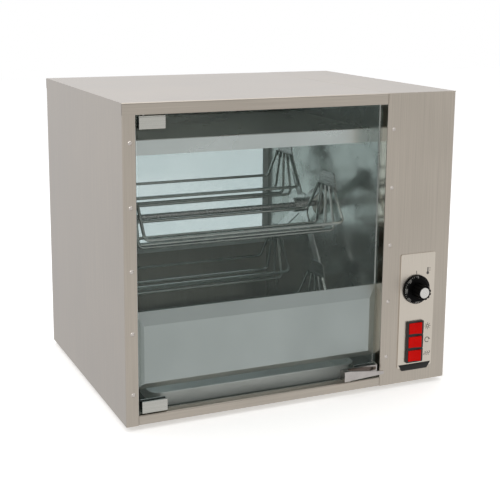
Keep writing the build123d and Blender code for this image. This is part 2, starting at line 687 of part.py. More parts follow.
with BuildPart() as hub_collars:
    for face_x, way in ((SPIDER_XS[0] + SPIDER_T / 2, 1), (SPIDER_XS[1] - SPIDER_T / 2, -1)):
        with BuildSketch(facing_side(face_x, ROTOR_Y, ROTOR_Z, way)):
            Circle(COLLAR_R)
            Circle(SHAFT_R + FIT_CLEAR, mode=Mode.SUBTRACT)
        extrude(amount=COLLAR_L)
        with BuildSketch(Plane.XY.offset(ROTOR_Z + SHAFT_R)):
            with Locations((face_x + way * COLLAR_L / 2, ROTOR_Y)):
                Circle(SET_SCREW_R)
        extrude(amount=COLLAR_R - SHAFT_R, mode=Mode.SUBTRACT)
save(hub_collars.part, "hub_collars")


def bearing(wall_x, way):
    """Flanged bush through a wall; way points from the cavity out through the wall."""
    with BuildPart() as bush:
        with BuildSketch(facing_side(wall_x - way * BEARING_FLANGE_T, ROTOR_Y, ROTOR_Z, way)):
            Circle(BEARING_FLANGE_R)
        extrude(amount=BEARING_FLANGE_T)
        with BuildSketch(facing_side(wall_x, ROTOR_Y, ROTOR_Z, way)):
            Circle(BEARING_R)
        extrude(amount=BEARING_REACH)
        with BuildSketch(facing_side(wall_x - way * BEARING_FLANGE_T, ROTOR_Y, ROTOR_Z, way)):
            Circle(SHAFT_R + RUN_CLEAR)
        extrude(amount=BEARING_FLANGE_T + BEARING_REACH, mode=Mode.SUBTRACT)
    return bush.part


save(bearing(LINER_X, -1), "left_bearing")
save(bearing(PARTITION_X, 1), "right_bearing")

# Baskets: bent wires that fan up to a pivot plate at each end
PLATE_INSET = SPIDER_T / 2 + PLATE_GAP + PLATE_T
PLATE_XS = (SPIDER_XS[0] + PLATE_INSET, SPIDER_XS[1] - PLATE_INSET)
WIRE_XS = (PLATE_XS[0] + WIRE_R, PLATE_XS[1] - WIRE_R)


def basket_wires(pivot_y, pivot_z):
    """Long wires spread round a trough, each bent up at both ends towards the pivot."""
    with BuildPart() as wires:
        for index in range(WIRE_COUNT):
            share = 2 * index / (WIRE_COUNT - 1) - 1
            out = BASKET_HALF * share
            low_z = pivot_z - BASKET_RIM - (BASKET_DROP - BASKET_RIM) * sqrt(1 - share ** 2)
            neck_y = pivot_y + NECK_PITCH * (index - (WIRE_COUNT - 1) / 2)
            neck_z = pivot_z - NECK_DROP
            with BuildLine() as route:
                FilletPolyline((WIRE_XS[0], neck_y, neck_z), (WIRE_XS[0], pivot_y + out, low_z),
                               (WIRE_XS[1], pivot_y + out, low_z), (WIRE_XS[1], neck_y, neck_z),
                               radius=WIRE_BEND)
            with BuildSketch(Plane(origin=route.line @ 0, x_dir=(1, 0, 0), z_dir=route.line % 0)):
                RegularPolygon(WIRE_R, WIRE_SIDES, major_radius=False, rotation=180 / WIRE_SIDES)
            sweep(path=route.line)
    return wires.part


def basket_hangers(pivot_y, pivot_z):
    """Pivot plates of one basket, each with the pin that turns in a spider arm."""
    pin_l = PLATE_T + PLATE_GAP + SPIDER_T + BASKET_PIN_OUT
    with BuildPart() as hangers:
        for plate_x, way in ((PLATE_XS[0], -1), (PLATE_XS[1], 1)):
            inner_face = facing_side(plate_x, pivot_y, pivot_z, way)
            with BuildSketch(inner_face):
                with Locations((-PLATE_HEAD, 0), (PLATE_HEAD, 0)):
                    Circle(PLATE_TOP_R)
                with Locations((-PLATE_HALF, -PLATE_DROP), (PLATE_HALF, -PLATE_DROP)):
                    Circle(PLATE_FOOT_R)
                make_hull()
            extrude(amount=PLATE_T)
            with BuildSketch(inner_face):
                Circle(BASKET_PIN_R)
            extrude(amount=pin_l)
    return hangers.part


for number, angle in enumerate(ARM_ANGLES, start=1):
    basket_y = ROTOR_Y + PIVOT_R * cos(radians(angle))
    basket_z = ROTOR_Z + PIVOT_R * sin(radians(angle))
    save(basket_wires(basket_y, basket_z), f"basket_{number}_wires")
    save(basket_hangers(basket_y, basket_z), f"basket_{number}_hangers")

# Drive in the control column: gear box and motor on stand-offs, coupled to the shaft
GEARBOX_X0 = PARTITION_X + SHEET + STANDOFF_L
COUPLING_X0 = PARTITION_X + BEARING_REACH + COUPLING_GAP
COUPLING_X1 = GEARBOX_X0 - COUPLING_GAP

with BuildPart() as motor_standoffs:
    with BuildSketch(facing_side(PARTITION_X + SHEET, ROTOR_Y, ROTOR_Z)):
        with GridLocations(GEARBOX_Y - 4 * STANDOFF_R, GEARBOX_Z - 4 * STANDOFF_R, 2, 2):
            RegularPolygon(STANDOFF_R, 6, major_radius=False)
    extrude(amount=STANDOFF_L)
save(motor_standoffs.part, "motor_standoffs")

with BuildPart() as gearbox:
    with BuildSketch(facing_side(GEARBOX_X0, ROTOR_Y, ROTOR_Z)):
        RectangleRounded(GEARBOX_Y, GEARBOX_Z, GEARBOX_R)
    extrude(amount=GEARBOX_X)
    chamfer(gearbox.faces().sort_by(Axis.X)[-1].edges(), length=2 * SHEET)
    with BuildSketch(facing_side(GEARBOX_X0, ROTOR_Y, ROTOR_Z)):
        Circle(OUTPUT_R + RUN_CLEAR)
    extrude(amount=OUTPUT_DEPTH, mode=Mode.SUBTRACT)
save(gearbox.part, "gearbox")

with BuildPart() as drive_motor:
    with BuildSketch(facing_side(GEARBOX_X0 + GEARBOX_X, ROTOR_Y, ROTOR_Z)):
        Circle(MOTOR_R)
    extrude(amount=MOTOR_L)
    chamfer(drive_motor.edges().sort_by(Axis.X)[-1], length=2 * SHEET)
    with BuildSketch(facing_side(GEARBOX_X0 + GEARBOX_X + MOTOR_L, ROTOR_Y, ROTOR_Z)):
        Circle(MOTOR_CAP_R)
    extrude(amount=MOTOR_CAP_L)
save(drive_motor.part, "drive_motor")

with BuildPart() as output_shaft:
    with BuildSketch(facing_side(SHAFT_X1, ROTOR_Y, ROTOR_Z)):
        Circle(OUTPUT_R)
    extrude(amount=GEARBOX_X0 + OUTPUT_DEPTH - COUPLING_GAP - SHAFT_X1)
save(output_shaft.part, "output_shaft")

with BuildPart() as drive_coupling:
    with BuildSketch(facing_side(COUPLING_X0, ROTOR_Y, ROTOR_Z)):
        Circle(COUPLING_R)
    extrude(amount=COUPLING_X1 - COUPLING_X0)
    with BuildSketch(facing_side(COUPLING_X0, ROTOR_Y, ROTOR_Z)):
        Circle(SHAFT_R + FIT_CLEAR)
    extrude(amount=SHAFT_X1 - COUPLING_X0, mode=Mode.SUBTRACT)
    with BuildSketch(facing_side(SHAFT_X1, ROTOR_Y, ROTOR_Z)):
        Circle(OUTPUT_R + FIT_CLEAR)
    extrude(amount=COUPLING_X1 - SHAFT_X1, mode=Mode.SUBTRACT)
save(drive_coupling.part, "drive_coupling")

# Controls on the column's front
with BuildPart() as control_panel:
    with BuildSketch(facing_front(CONTROL_X, FRONT, BASE)):
        with Locations((PANEL_SHIFT, PANEL_LOW + PANEL_H / 2)):
            RectangleRounded(PANEL_W, PANEL_H, PANEL_R)
        with Locations((0, KNOB_RISE)):
            Circle(BUSH_R + HOLE_CLEAR, mode=Mode.SUBTRACT)
        with Locations((0, SWITCH_RISE)):
            with GridLocations(0, SWITCH_PITCH, 1, 3):
                Rectangle(SWITCH_W + 2 * HOLE_CLEAR, SWITCH_H + 2 * HOLE_CLEAR, mode=Mode.SUBTRACT)
    extrude(amount=PANEL_T)
save(control_panel.part, "control_panel")

with BuildPart() as thermostat_body:
    with BuildSketch(facing_front(CONTROL_X, FRONT + SHEET + THERMOSTAT_D, KNOB_Z)):
        RectangleRounded(THERMOSTAT_W, THERMOSTAT_W, BUSH_R)
    extrude(amount=THERMOSTAT_D)
    with BuildSketch(facing_front(CONTROL_X, FRONT + SHEET, KNOB_Z)):
        Circle(BUSH_R)
    extrude(amount=SHEET + PANEL_T + BUSH_OUT)
    with BuildSketch(facing_front(CONTROL_X, FRONT + SHEET + STEM_IN + KNOB_GAP, KNOB_Z)):
        Circle(STEM_R + RUN_CLEAR)
    extrude(amount=STEM_IN + KNOB_GAP + SHEET + PANEL_T + BUSH_OUT, mode=Mode.SUBTRACT)
save(thermostat_body.part, "thermostat_body")

STEM_Y = FRONT + SHEET + STEM_IN
KNOB_Y = PANEL_Y - KNOB_GAP

with BuildPart() as thermostat_stem:
    with BuildSketch(facing_front(CONTROL_X, STEM_Y, KNOB_Z)):
        Circle(STEM_R)
    extrude(amount=STEM_L)
save(thermostat_stem.part, "thermostat_stem")

with BuildPart() as thermostat_knob:
    with BuildSketch(facing_front(CONTROL_X, KNOB_Y, KNOB_Z)):
        Circle(KNOB_R)
    extrude(amount=KNOB_SKIRT)
    chamfer(thermostat_knob.edges().sort_by(Axis.Y)[0], length=KNOB_SKIRT / 2, length2=KNOB_SKIRT)
    with BuildSketch(facing_front(CONTROL_X, KNOB_Y - KNOB_SKIRT, KNOB_Z)):
        Circle(KNOB_BARREL_R)
        with PolarLocations(KNOB_BARREL_R, FLUTE_COUNT):
            Circle(FLUTE_R, mode=Mode.SUBTRACT)
    extrude(amount=KNOB_H - KNOB_SKIRT)
    with BuildSketch(facing_front(CONTROL_X, KNOB_Y - KNOB_H, KNOB_Z)):
        Circle(KNOB_CAP_R)
    extrude(amount=-KNOB_CAP_H, mode=Mode.SUBTRACT)
    with BuildSketch(facing_front(CONTROL_X, KNOB_Y, KNOB_Z)):
        Circle(KNOB_RECESS_R)
    extrude(amount=KNOB_RECESS_H, mode=Mode.SUBTRACT)
    with BuildSketch(facing_front(CONTROL_X, KNOB_Y, KNOB_Z)):
        Circle(STEM_R + FIT_CLEAR)
    extrude(amount=KNOB_Y - STEM_Y + STEM_L, mode=Mode.SUBTRACT)
save(thermostat_knob.part, "thermostat_knob")

with BuildPart() as knob_cap:
    with BuildSketch(facing_front(CONTROL_X, KNOB_Y - KNOB_H + KNOB_CAP_H, KNOB_Z)):
        Circle(KNOB_CAP_R - FIT_CLEAR)
    extrude(amount=KNOB_CAP_H)
save(knob_cap.part, "knob_cap")

ROCKER_Y = PANEL_Y - BEZEL_T + ROCKER_PIVOT


def switch_housing(middle_z):
    """Snap-in switch housing: bezel, well for the rocker and two blade terminals."""
    with BuildPart() as housing:
        with BuildSketch(facing_front(CONTROL_X, PANEL_Y, middle_z)):
            RectangleRounded(BEZEL_W, BEZEL_H, BEZEL_R)
        extrude(amount=BEZEL_T)
        with BuildSketch(facing_front(CONTROL_X, PANEL_Y, middle_z)):
            Rectangle(SWITCH_W, SWITCH_H)
        extrude(amount=-SWITCH_D)
        with BuildSketch(facing_front(CONTROL_X, PANEL_Y - BEZEL_T, middle_z)):
            Rectangle(WELL_W, WELL_H)
        extrude(amount=-WELL_D, mode=Mode.SUBTRACT)
        with BuildSketch(Plane.XY.offset(middle_z - SWITCH_H / 2)):
            with Locations((CONTROL_X, ROCKER_Y)):
                Circle(TRUNNION_R + RUN_CLEAR)
        extrude(amount=SWITCH_H, mode=Mode.SUBTRACT)
        with BuildSketch(facing_front(CONTROL_X, PANEL_Y + SWITCH_D, middle_z)):
            with GridLocations(SWITCH_W / 2, 0, 2, 1):
                Rectangle(TAB_T, TAB_W)
        extrude(amount=-TAB_L)
    return housing.part


def rocker(middle_z):
    """Dished rocker whose ends are rounded about its upright pivot, tilted to off."""
    reach = WELL_W / 2 - ROCKER_CLEAR
    height = WELL_H - 2 * ROCKER_CLEAR
    front_x = (reach ** 2 - ROCKER_FRONT ** 2) ** 0.5
    back_x = (reach ** 2 - ROCKER_BACK ** 2) ** 0.5
    seat = Plane(origin=(CONTROL_X, ROCKER_Y, middle_z - height / 2), x_dir=(1, 0, 0), z_dir=(0, 0, 1))
    with BuildPart() as paddle:
        with BuildSketch(seat.rotated((0, 0, -ROCKER_TILT))):
            with BuildLine():
                Line((-back_x, ROCKER_BACK), (back_x, ROCKER_BACK))
                ThreePointArc((back_x, ROCKER_BACK), (reach, 0), (front_x, -ROCKER_FRONT))
                Polyline((front_x, -ROCKER_FRONT), (0, ROCKER_DISH - ROCKER_FRONT),
                         (-front_x, -ROCKER_FRONT))
                ThreePointArc((-front_x, -ROCKER_FRONT), (-reach, 0), (-back_x, ROCKER_BACK))
            make_face()
        extrude(amount=height)
        with BuildSketch(seat.offset(-TRUNNION_OUT)):
            Circle(TRUNNION_R)
        extrude(amount=height + 2 * TRUNNION_OUT)
    return paddle.part


for place, step in (("top", 1), ("middle", 0), ("bottom", -1)):
    switch_z = BASE + SWITCH_RISE + step * SWITCH_PITCH
    save(switch_housing(switch_z), f"switch_housing_{place}")
    save(rocker(switch_z), f"rocker_{place}")

# Mains inlet at the back of the column
with BuildPart() as cable_gland:
    gland_back = Plane(origin=(CONTROL_X, BACK, BASE + GLAND_RISE), x_dir=(-1, 0, 0), z_dir=(0, 1, 0))
    with BuildSketch(gland_back):
        RegularPolygon(GLAND_AF / 2, 6, major_radius=False)
    extrude(amount=GLAND_FLANGE)
    with BuildSketch(gland_back.offset(GLAND_FLANGE)):
        Circle(GLAND_DOME_R)
    extrude(amount=GLAND_REACH - GLAND_FLANGE)
    chamfer(cable_gland.edges().sort_by(Axis.Y)[-1], length=CORD_HOLE_R)
    with BuildSketch(gland_back):
        Circle(GLAND_THREAD_R)
    extrude(amount=-GLAND_THREAD_L)
    with BuildSketch(gland_back.offset(-SHEET)):
        RegularPolygon(GLAND_AF / 2, 6, major_radius=False)
    extrude(amount=-GLAND_FLANGE)
    with BuildSketch(gland_back.offset(-GLAND_THREAD_L)):
        Circle(CORD_HOLE_R)
    extrude(amount=GLAND_THREAD_L + GLAND_REACH, mode=Mode.SUBTRACT)
save(cable_gland.part, "cable_gland")

with BuildPart() as terminal_block:
    block_y = BACK - TERMINAL_SETBACK
    with BuildSketch(Plane.XY.offset(FLOOR)):
        with Locations((CONTROL_X, block_y)):
            Rectangle(TERMINAL_W, TERMINAL_D)
    extrude(amount=TERMINAL_H)
    chamfer(terminal_block.faces().sort_by(Axis.Z)[-1].edges().filter_by(Axis.X), length=TERMINAL_HOLE_R)
    with BuildSketch(Plane.XY.offset(FLOOR + TERMINAL_H)):
        with Locations((CONTROL_X, block_y)):
            with GridLocations(TERMINAL_W / TERMINAL_WAYS, 0, TERMINAL_WAYS, 1):
                Circle(TERMINAL_HOLE_R)
    extrude(amount=-TERMINAL_H / 2, mode=Mode.SUBTRACT)
save(terminal_block.part, "terminal_block")
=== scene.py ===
import math

import bmesh
import bpy
from bpy.props import FloatProperty, FloatVectorProperty, IntProperty, PointerProperty
from mathutils import Matrix, Vector


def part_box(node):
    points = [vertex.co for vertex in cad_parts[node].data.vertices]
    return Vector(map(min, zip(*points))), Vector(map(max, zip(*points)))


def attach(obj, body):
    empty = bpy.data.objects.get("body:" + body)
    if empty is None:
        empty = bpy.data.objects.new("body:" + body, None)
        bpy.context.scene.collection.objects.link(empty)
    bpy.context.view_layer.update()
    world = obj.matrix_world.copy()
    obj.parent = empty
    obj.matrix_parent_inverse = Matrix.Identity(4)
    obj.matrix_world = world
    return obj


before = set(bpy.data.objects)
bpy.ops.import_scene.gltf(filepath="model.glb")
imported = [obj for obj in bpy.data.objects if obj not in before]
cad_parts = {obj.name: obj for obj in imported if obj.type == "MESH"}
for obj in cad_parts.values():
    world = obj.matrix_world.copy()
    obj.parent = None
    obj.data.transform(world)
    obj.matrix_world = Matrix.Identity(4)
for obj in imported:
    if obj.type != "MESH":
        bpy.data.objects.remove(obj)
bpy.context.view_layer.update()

bl_info = {
    "name": "Chicken rotisserie",
    "version": (1, 0, 0),
    "blender": (4, 5, 0),
    "location": "View3D > Sidebar > Rotisserie",
    "description": "Finishes, printed marks, fasteners and stage for the packed chicken rotisserie",
    "category": "Object",
}

MM = 0.001

# Places that the added pieces take from the CAD nodes
PLATE_LOW, PLATE_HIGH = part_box("control_panel")
KNOB_LOW, KNOB_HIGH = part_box("thermostat_knob")
BACK_LOW, BACK_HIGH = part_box("column_back")
COLUMN_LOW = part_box("control_column")[0]
SIDE_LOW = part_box("left_side_panel")[0]
PLATE_X = (PLATE_LOW.x + PLATE_HIGH.x) / 2
CONTROL_X = (KNOB_LOW.x + KNOB_HIGH.x) / 2
KNOB_Z = (KNOB_LOW.z + KNOB_HIGH.z) / 2
SWITCHES = ("top", "middle", "bottom")
BASKETS = (1, 2, 3, 4)

# The column's doorway return starts this far beside and behind its front corner.
FOLD_BESIDE, FOLD_BEHIND = 1.3 * MM, 2.6 * MM

# Knob skirt: its rim stands off the plate, and its face slopes in and forward from there.
SKIRT_RIM, SKIRT_IN, SKIRT_FORWARD = 3 * MM, 6 * MM, 3 * MM
TICKS_PER_STEP = 5
TICK_WIDTH = 0.5 * MM

# Pointer over the knob, and thermometer at its upper right
POINTER_WIDTH, POINTER_HEIGHT, POINTER_UP = 1.2 * MM, 5.0 * MM, 4.5 * MM
GAUGE_RIGHT, GAUGE_UP = 22.5 * MM, 4.0 * MM
STEM_WIDTH, STEM_HEIGHT, STEM_UP = 2.2 * MM, 8.5 * MM, 3.0 * MM
BULB_RADIUS, BULB_DOWN = 1.3 * MM, 2.5 * MM
DASH_WIDTH, DASH_HEIGHT, DASH_RIGHT = 2.6 * MM, 0.7 * MM, 3.8 * MM
DASH_UP, DASH_SPACING, DASHES = 1.0 * MM, 2.6 * MM, 3

# Signs beside the switches, as shares of the sign's size
LAMP_RADIUS, LAMP_LINE, LAMP_RAYS = 0.20, 0.10, 8
RAY_OUT, RAY_WIDTH, RAY_LENGTH = 0.40, 0.09, 0.18
ARROW_RADIUS, ARROW_LINE, ARROW_HEAD = 0.36, 0.11, 0.20
ARROW_SWEEP, ARROW_START, ARROW_TIP = math.radians(285), math.radians(30), math.radians(18)
WAVE_RADIUS, WAVE_LINE, WAVE_SPACING, WAVE_RIGHT = 0.14, 0.08, 0.36, 0.06
WAVE_STEPS = 10

# Badge: its middle lies just over the plate's lower edge, which it steps across.
BADGE_UP, BADGE_STEP = 0.5 * MM, 0.3 * MM
BADGE_GAP, BADGE_BEVEL = 0.02 * MM, 0.6 * MM

# Back screws: rows, and how far they lie from the casing's edges and the column's seam
SCREW_ROWS = 4
SCREW_LEFT, SCREW_SEAM, SCREW_RIGHT, SCREW_ENDS = 9 * MM, 7 * MM, 8 * MM, 30 * MM

# Soft boxes: name, place and width in metres, and power in watts
SOFT_BOXES = (
    ("key", (-1.9, -1.2, 1.9), 1.6, 14),
    ("over", (0.1, 0.3, 2.3), 2.2, 16),
    ("fill", (1.9, -1.2, 1.2), 1.4, 4),
)
LIGHT_TARGET = Vector((0, 0, 0.25))
FLOOR_HALF = 6.0
WHITE = (1.0, 1.0, 1.0, 1.0)
COOL_WHITE = (0.965, 0.985, 1.035, 1.0)

# Sockets of the Mix node, whose names repeat, for colours and for numbers
FACTOR = 0
COLOUR_A, COLOUR_B, COLOUR_OUT = 6, 7, 2
NUMBER_A, NUMBER_B, NUMBER_OUT = 2, 3, 0

# Parts of a noise's range that are stretched to full contrast
WIDE_RANGE = {"From Min": 0.30, "From Max": 0.70}
BRUSHED_RANGE = {"From Min": 0.32, "From Max": 0.68}
PLATED_RANGE = {"From Min": 0.33, "From Max": 0.67}
NARROW_RANGE = {"From Min": 0.35, "From Max": 0.65}
WIPED_RANGE = {"From Min": 0.35, "From Max": 0.68}


def linear(code):
    """sRGB hex colour as linear red, green and blue."""
    parts = [int(code[at:at + 2], 16) / 255 for at in (1, 3, 5)]
    return tuple(part / 12.92 if part <= 0.04045 else ((part + 0.055) / 1.055) ** 2.4
                 for part in parts)


def per_mm(size):
    """Texture scale at which one feature is this many millimetres across."""
    return 1 / (size * MM)


def length(name, description, default):
    """A size in metres that a user may change."""
    return FloatProperty(name=name, description=description, default=default, min=0.01 * MM,
                         precision=5, subtype="DISTANCE", unit="LENGTH")


def angle(name, description, degrees):
    """A turn that a user may change, given in degrees."""
    return FloatProperty(name=name, description=description, default=math.radians(degrees),
                         subtype="ANGLE", unit="ROTATION")


def brightness(name, description, default):
    """A strength of light that a user may change."""
    return FloatProperty(name=name, description=description, default=default, min=0)


def tone(name, description, code):
    """A colour that a user may change, given as sRGB hex."""
    return FloatVectorProperty(name=name, description=description, default=linear(code), size=3,
                               min=0, max=1, subtype="COLOR")


class RotisserieSizes(bpy.types.PropertyGroup):
    """Sizes of the printed and fixed pieces."""

    badge_width: length("Badge width", "Width of the bare badge along its upper edge", 0.064)
    badge_foot: length("Badge foot", "Width of the bare badge along its lower edge", 0.050)
    badge_height: length("Badge height", "Height of the bare badge", 0.011)
    badge_thick: length("Badge thickness", "Thickness of the badge in front of the plate", 0.0010)
    digit_height: length("Digit height", "Height of the dial's digits", 0.0040)
    tick_length: length("Tick length", "Length of the dial's scale ticks", 0.0022)
    ink_thick: length("Ink thickness", "Thickness of a printed mark", 0.00006)
    sign_size: length("Sign size", "Size of the printed sign beside a switch", 0.0120)
    screw_radius: length("Screw radius", "Radius of a casing screw's head", 0.0040)
    screw_height: length("Screw height", "Height of a casing screw's head", 0.0022)
    dial_steps: IntProperty(name="Dial steps", description="Numbered steps on the dial",
                            default=6, min=2, max=12)
    dial_top: IntProperty(name="Dial top", description="Highest number on the dial",
                          default=300, min=1, max=999)
    dial_sweep: angle("Dial sweep", "Angle from the lowest to the highest number", 270)


class RotisserieColours(bpy.types.PropertyGroup):
    """Colours of the finishes."""

    casing: tone("Casing steel", "Brushed stainless of the outer sheets", "#C0B7AB")
    plate: tone("Control plate", "Brighter brushed stainless of the control plate", "#DCD3C6")
    chamber: tone("Chamber steel", "Polished stainless inside the chamber", "#B9BDB8")
    glass: tone("Door glass", "Grey-green haze of the door glass", "#6E7F78")
    knob: tone("Knob", "Black phenolic of the knob", "#070707")
    switch: tone("Switch housing", "Black nylon of the switch housings", "#1B1512")
    rocker: tone("Rocker", "Red polycarbonate of the rockers", "#D60A04")
    badge: tone("Badge", "Black anodised badge", "#211F1C")
    ink: tone("Plate ink", "Printed marks on the control plate", "#5C5955")
    dial_ink: tone("Dial ink", "Numbers and ticks on the knob", "#A9A7A1")
    floor: tone("Floor", "Pale studio floor", "#F4F3F1")


class RotisserieStage(bpy.types.PropertyGroup):
    """Camera and light."""

    camera_place: FloatVectorProperty(
        name="Camera place", description="Where the camera stands", size=3,
        default=(-0.7501, -1.6971, 0.6729), subtype="TRANSLATION", unit="LENGTH")
    azimuth: angle("Azimuth", "Turn of the camera round the object", -24.280)
    elevation: angle("Elevation", "Height of the camera over the horizon", 11.283)
    roll: angle("Roll", "Tilt of the camera about its line of sight", 0.501)
    lens: FloatProperty(name="Lens", description="Focal length in millimetres", default=76.50,
                        min=10)
    shift: FloatProperty(name="Shift", description="Upward shift of the lens, as a share of the "
                         "frame", default=-0.1)
    front_low: brightness("Front low light", "Brightness of the white table in front", 0.80)
    front_high: brightness("Front high light", "Brightness of the room in front", 0.34)
    back_low: brightness("Back low light", "Brightness of the table behind", 0.71)
    back_high: brightness("Back high light", "Brightness of the backdrop", 1.01)
    floor_glow: brightness("Floor glow", "Light that the white floor gives off", 0.45)


def add_node(tree, kind, inputs=None, **settings):
    """Add a shader node with its settings, then set or link its inputs."""
    node = tree.nodes.new("ShaderNode" + kind)
    for key, value in settings.items():
        setattr(node, key, value)
    for key, value in (inputs or {}).items():
        if isinstance(value, bpy.types.NodeSocket):
            tree.links.new(value, node.inputs[key])
        else:
            node.inputs[key].default_value = value
    return node


def new_finish(name):
    """An empty node material, its tree and a point's place in the object's own coordinates."""
    finish = bpy.data.materials.new(name)
    finish.use_nodes = True
    finish.node_tree.nodes.clear()
    place = add_node(finish.node_tree, "TexCoord").outputs["Object"]
    return finish, finish.node_tree, place


def shade(colour, by=1.0):
    """A colour made darker or lighter, with full opacity."""
    return tuple(min(1.0, part * by) for part in colour) + (1.0,)


def brushed_stainless(name, colour, run, rough, grain=1.6, contrast=0.10, fold=None):
    """Cold-rolled stainless sheet, belt-brushed along one axis."""
    # Fine parallel scratches stretch the highlights across the grain, and handling leaves faint
    # cloudy patches. Real scratches are about 0.05 mm wide, and are drawn 1 to 2 mm wide so that
    # they show. Left of a fold line and behind it the sheet was turned in before the brushing,
    # and kept its mirror skin.
    scratch_run, cloud_size, cloud_share, mirror = 140, 170, 0.35, 0.10
    finish, tree, place = new_finish(name)
    stretch = [per_mm(grain)] * 3
    stretch[run] = per_mm(scratch_run)
    drawn = add_node(tree, "Mapping", {"Vector": place, "Scale": stretch})
    lines = add_node(tree, "TexNoise", {
        "Vector": drawn.outputs["Vector"], "Scale": 1.0, "Detail": 3.0, "Roughness": 0.6})
    cloud = add_node(tree, "TexNoise", {
        "Vector": place, "Scale": per_mm(cloud_size), "Detail": 2.0, "Roughness": 0.5})
    both = add_node(tree, "Mix", {
        FACTOR: cloud_share, NUMBER_A: lines.outputs["Fac"], NUMBER_B: cloud.outputs["Fac"]},
        data_type="FLOAT").outputs[NUMBER_OUT]
    share = add_node(tree, "MapRange", {"Value": both, **BRUSHED_RANGE})
    mixed = add_node(tree, "Mix", {
        FACTOR: share.outputs["Result"], COLOUR_A: shade(colour, 1 - contrast),
        COLOUR_B: shade(colour, 1 + contrast)}, data_type="RGBA")
    gloss = add_node(tree, "MapRange", {
        "Value": both, **WIDE_RANGE, "To Min": rough - 0.05, "To Max": rough + 0.06})
    bump = add_node(tree, "Bump", {
        "Height": lines.outputs["Fac"], "Strength": 0.12, "Distance": 0.3 * MM})
    skin = gloss.outputs["Result"]
    if fold:
        axes = add_node(tree, "SeparateXYZ", {"Vector": place})
        beside = add_node(tree, "Math", {0: axes.outputs["X"], 1: fold[0]}, operation="LESS_THAN")
        behind = add_node(tree, "Math", {0: axes.outputs["Y"], 1: fold[1]},
                          operation="GREATER_THAN")
        inside = add_node(tree, "Math", {0: beside.outputs[0], 1: behind.outputs[0]},
                          operation="MULTIPLY")
        skin = add_node(tree, "Mix", {
            FACTOR: inside.outputs[0], NUMBER_A: skin, NUMBER_B: mirror},
            data_type="FLOAT").outputs[NUMBER_OUT]
    shader = add_node(tree, "BsdfPrincipled", {
        "Base Color": mixed.outputs[COLOUR_OUT], "Roughness": skin,
        "Normal": bump.outputs["Normal"], "Metallic": 1.0})
    add_node(tree, "OutputMaterial", {"Surface": shader.outputs["BSDF"]})
    return finish


def polished_stainless(name, colour, rough, smudge=60, contrast=0.12):
    """Bright-annealed stainless sheet, left mirror-like."""
    # It mirrors its surroundings a little blurred, with duller patches where fat was wiped off.
    finish, tree, place = new_finish(name)
    wipe = add_node(tree, "TexNoise", {
        "Vector": place, "Scale": per_mm(smudge), "Detail": 4.0, "Roughness": 0.6,
        "Distortion": 0.6})
    share = add_node(tree, "MapRange", {"Value": wipe.outputs["Fac"], **NARROW_RANGE})
    mixed = add_node(tree, "Mix", {
        FACTOR: share.outputs["Result"], COLOUR_A: shade(colour, 1 + contrast / 2),
        COLOUR_B: shade(colour, 1 - contrast)}, data_type="RGBA")
    gloss = add_node(tree, "MapRange", {
        "Value": wipe.outputs["Fac"], **WIPED_RANGE, "To Min": rough, "To Max": rough + 0.14})
    bump = add_node(tree, "Bump", {
        "Height": wipe.outputs["Fac"], "Strength": 0.05, "Distance": 1.0 * MM})
    shader = add_node(tree, "BsdfPrincipled", {
        "Base Color": mixed.outputs[COLOUR_OUT], "Roughness": gloss.outputs["Result"],
        "Normal": bump.outputs["Normal"], "Metallic": 1.0})
    add_node(tree, "OutputMaterial", {"Surface": shader.outputs["BSDF"]})
    return finish


def plated_metal(name, colour, rough, mottle=6.0, contrast=0.10, dent=0.05):
    """Plated, cast or turned metal with a fine mottle."""
    # The skin is even and bright, with small darker specks and duller spots of handling.
    finish, tree, place = new_finish(name)
    fleck = add_node(tree, "TexNoise", {
        "Vector": place, "Scale": per_mm(mottle), "Detail": 4.0, "Roughness": 0.65})
    share = add_node(tree, "MapRange", {"Value": fleck.outputs["Fac"], **PLATED_RANGE})
    mixed = add_node(tree, "Mix", {
        FACTOR: share.outputs["Result"], COLOUR_A: shade(colour, 1 - contrast),
        COLOUR_B: shade(colour, 1 + contrast)}, data_type="RGBA")
    gloss = add_node(tree, "MapRange", {
        "Value": fleck.outputs["Fac"], **WIDE_RANGE, "To Min": rough + 0.08,
        "To Max": max(0.03, rough - 0.05)})
    bump = add_node(tree, "Bump", {
        "Height": fleck.outputs["Fac"], "Strength": dent, "Distance": 0.4 * MM})
    shader = add_node(tree, "BsdfPrincipled", {
        "Base Color": mixed.outputs[COLOUR_OUT], "Roughness": gloss.outputs["Result"],
        "Normal": bump.outputs["Normal"], "Metallic": 1.0})
    add_node(tree, "OutputMaterial", {"Surface": shader.outputs["BSDF"]})
    return finish


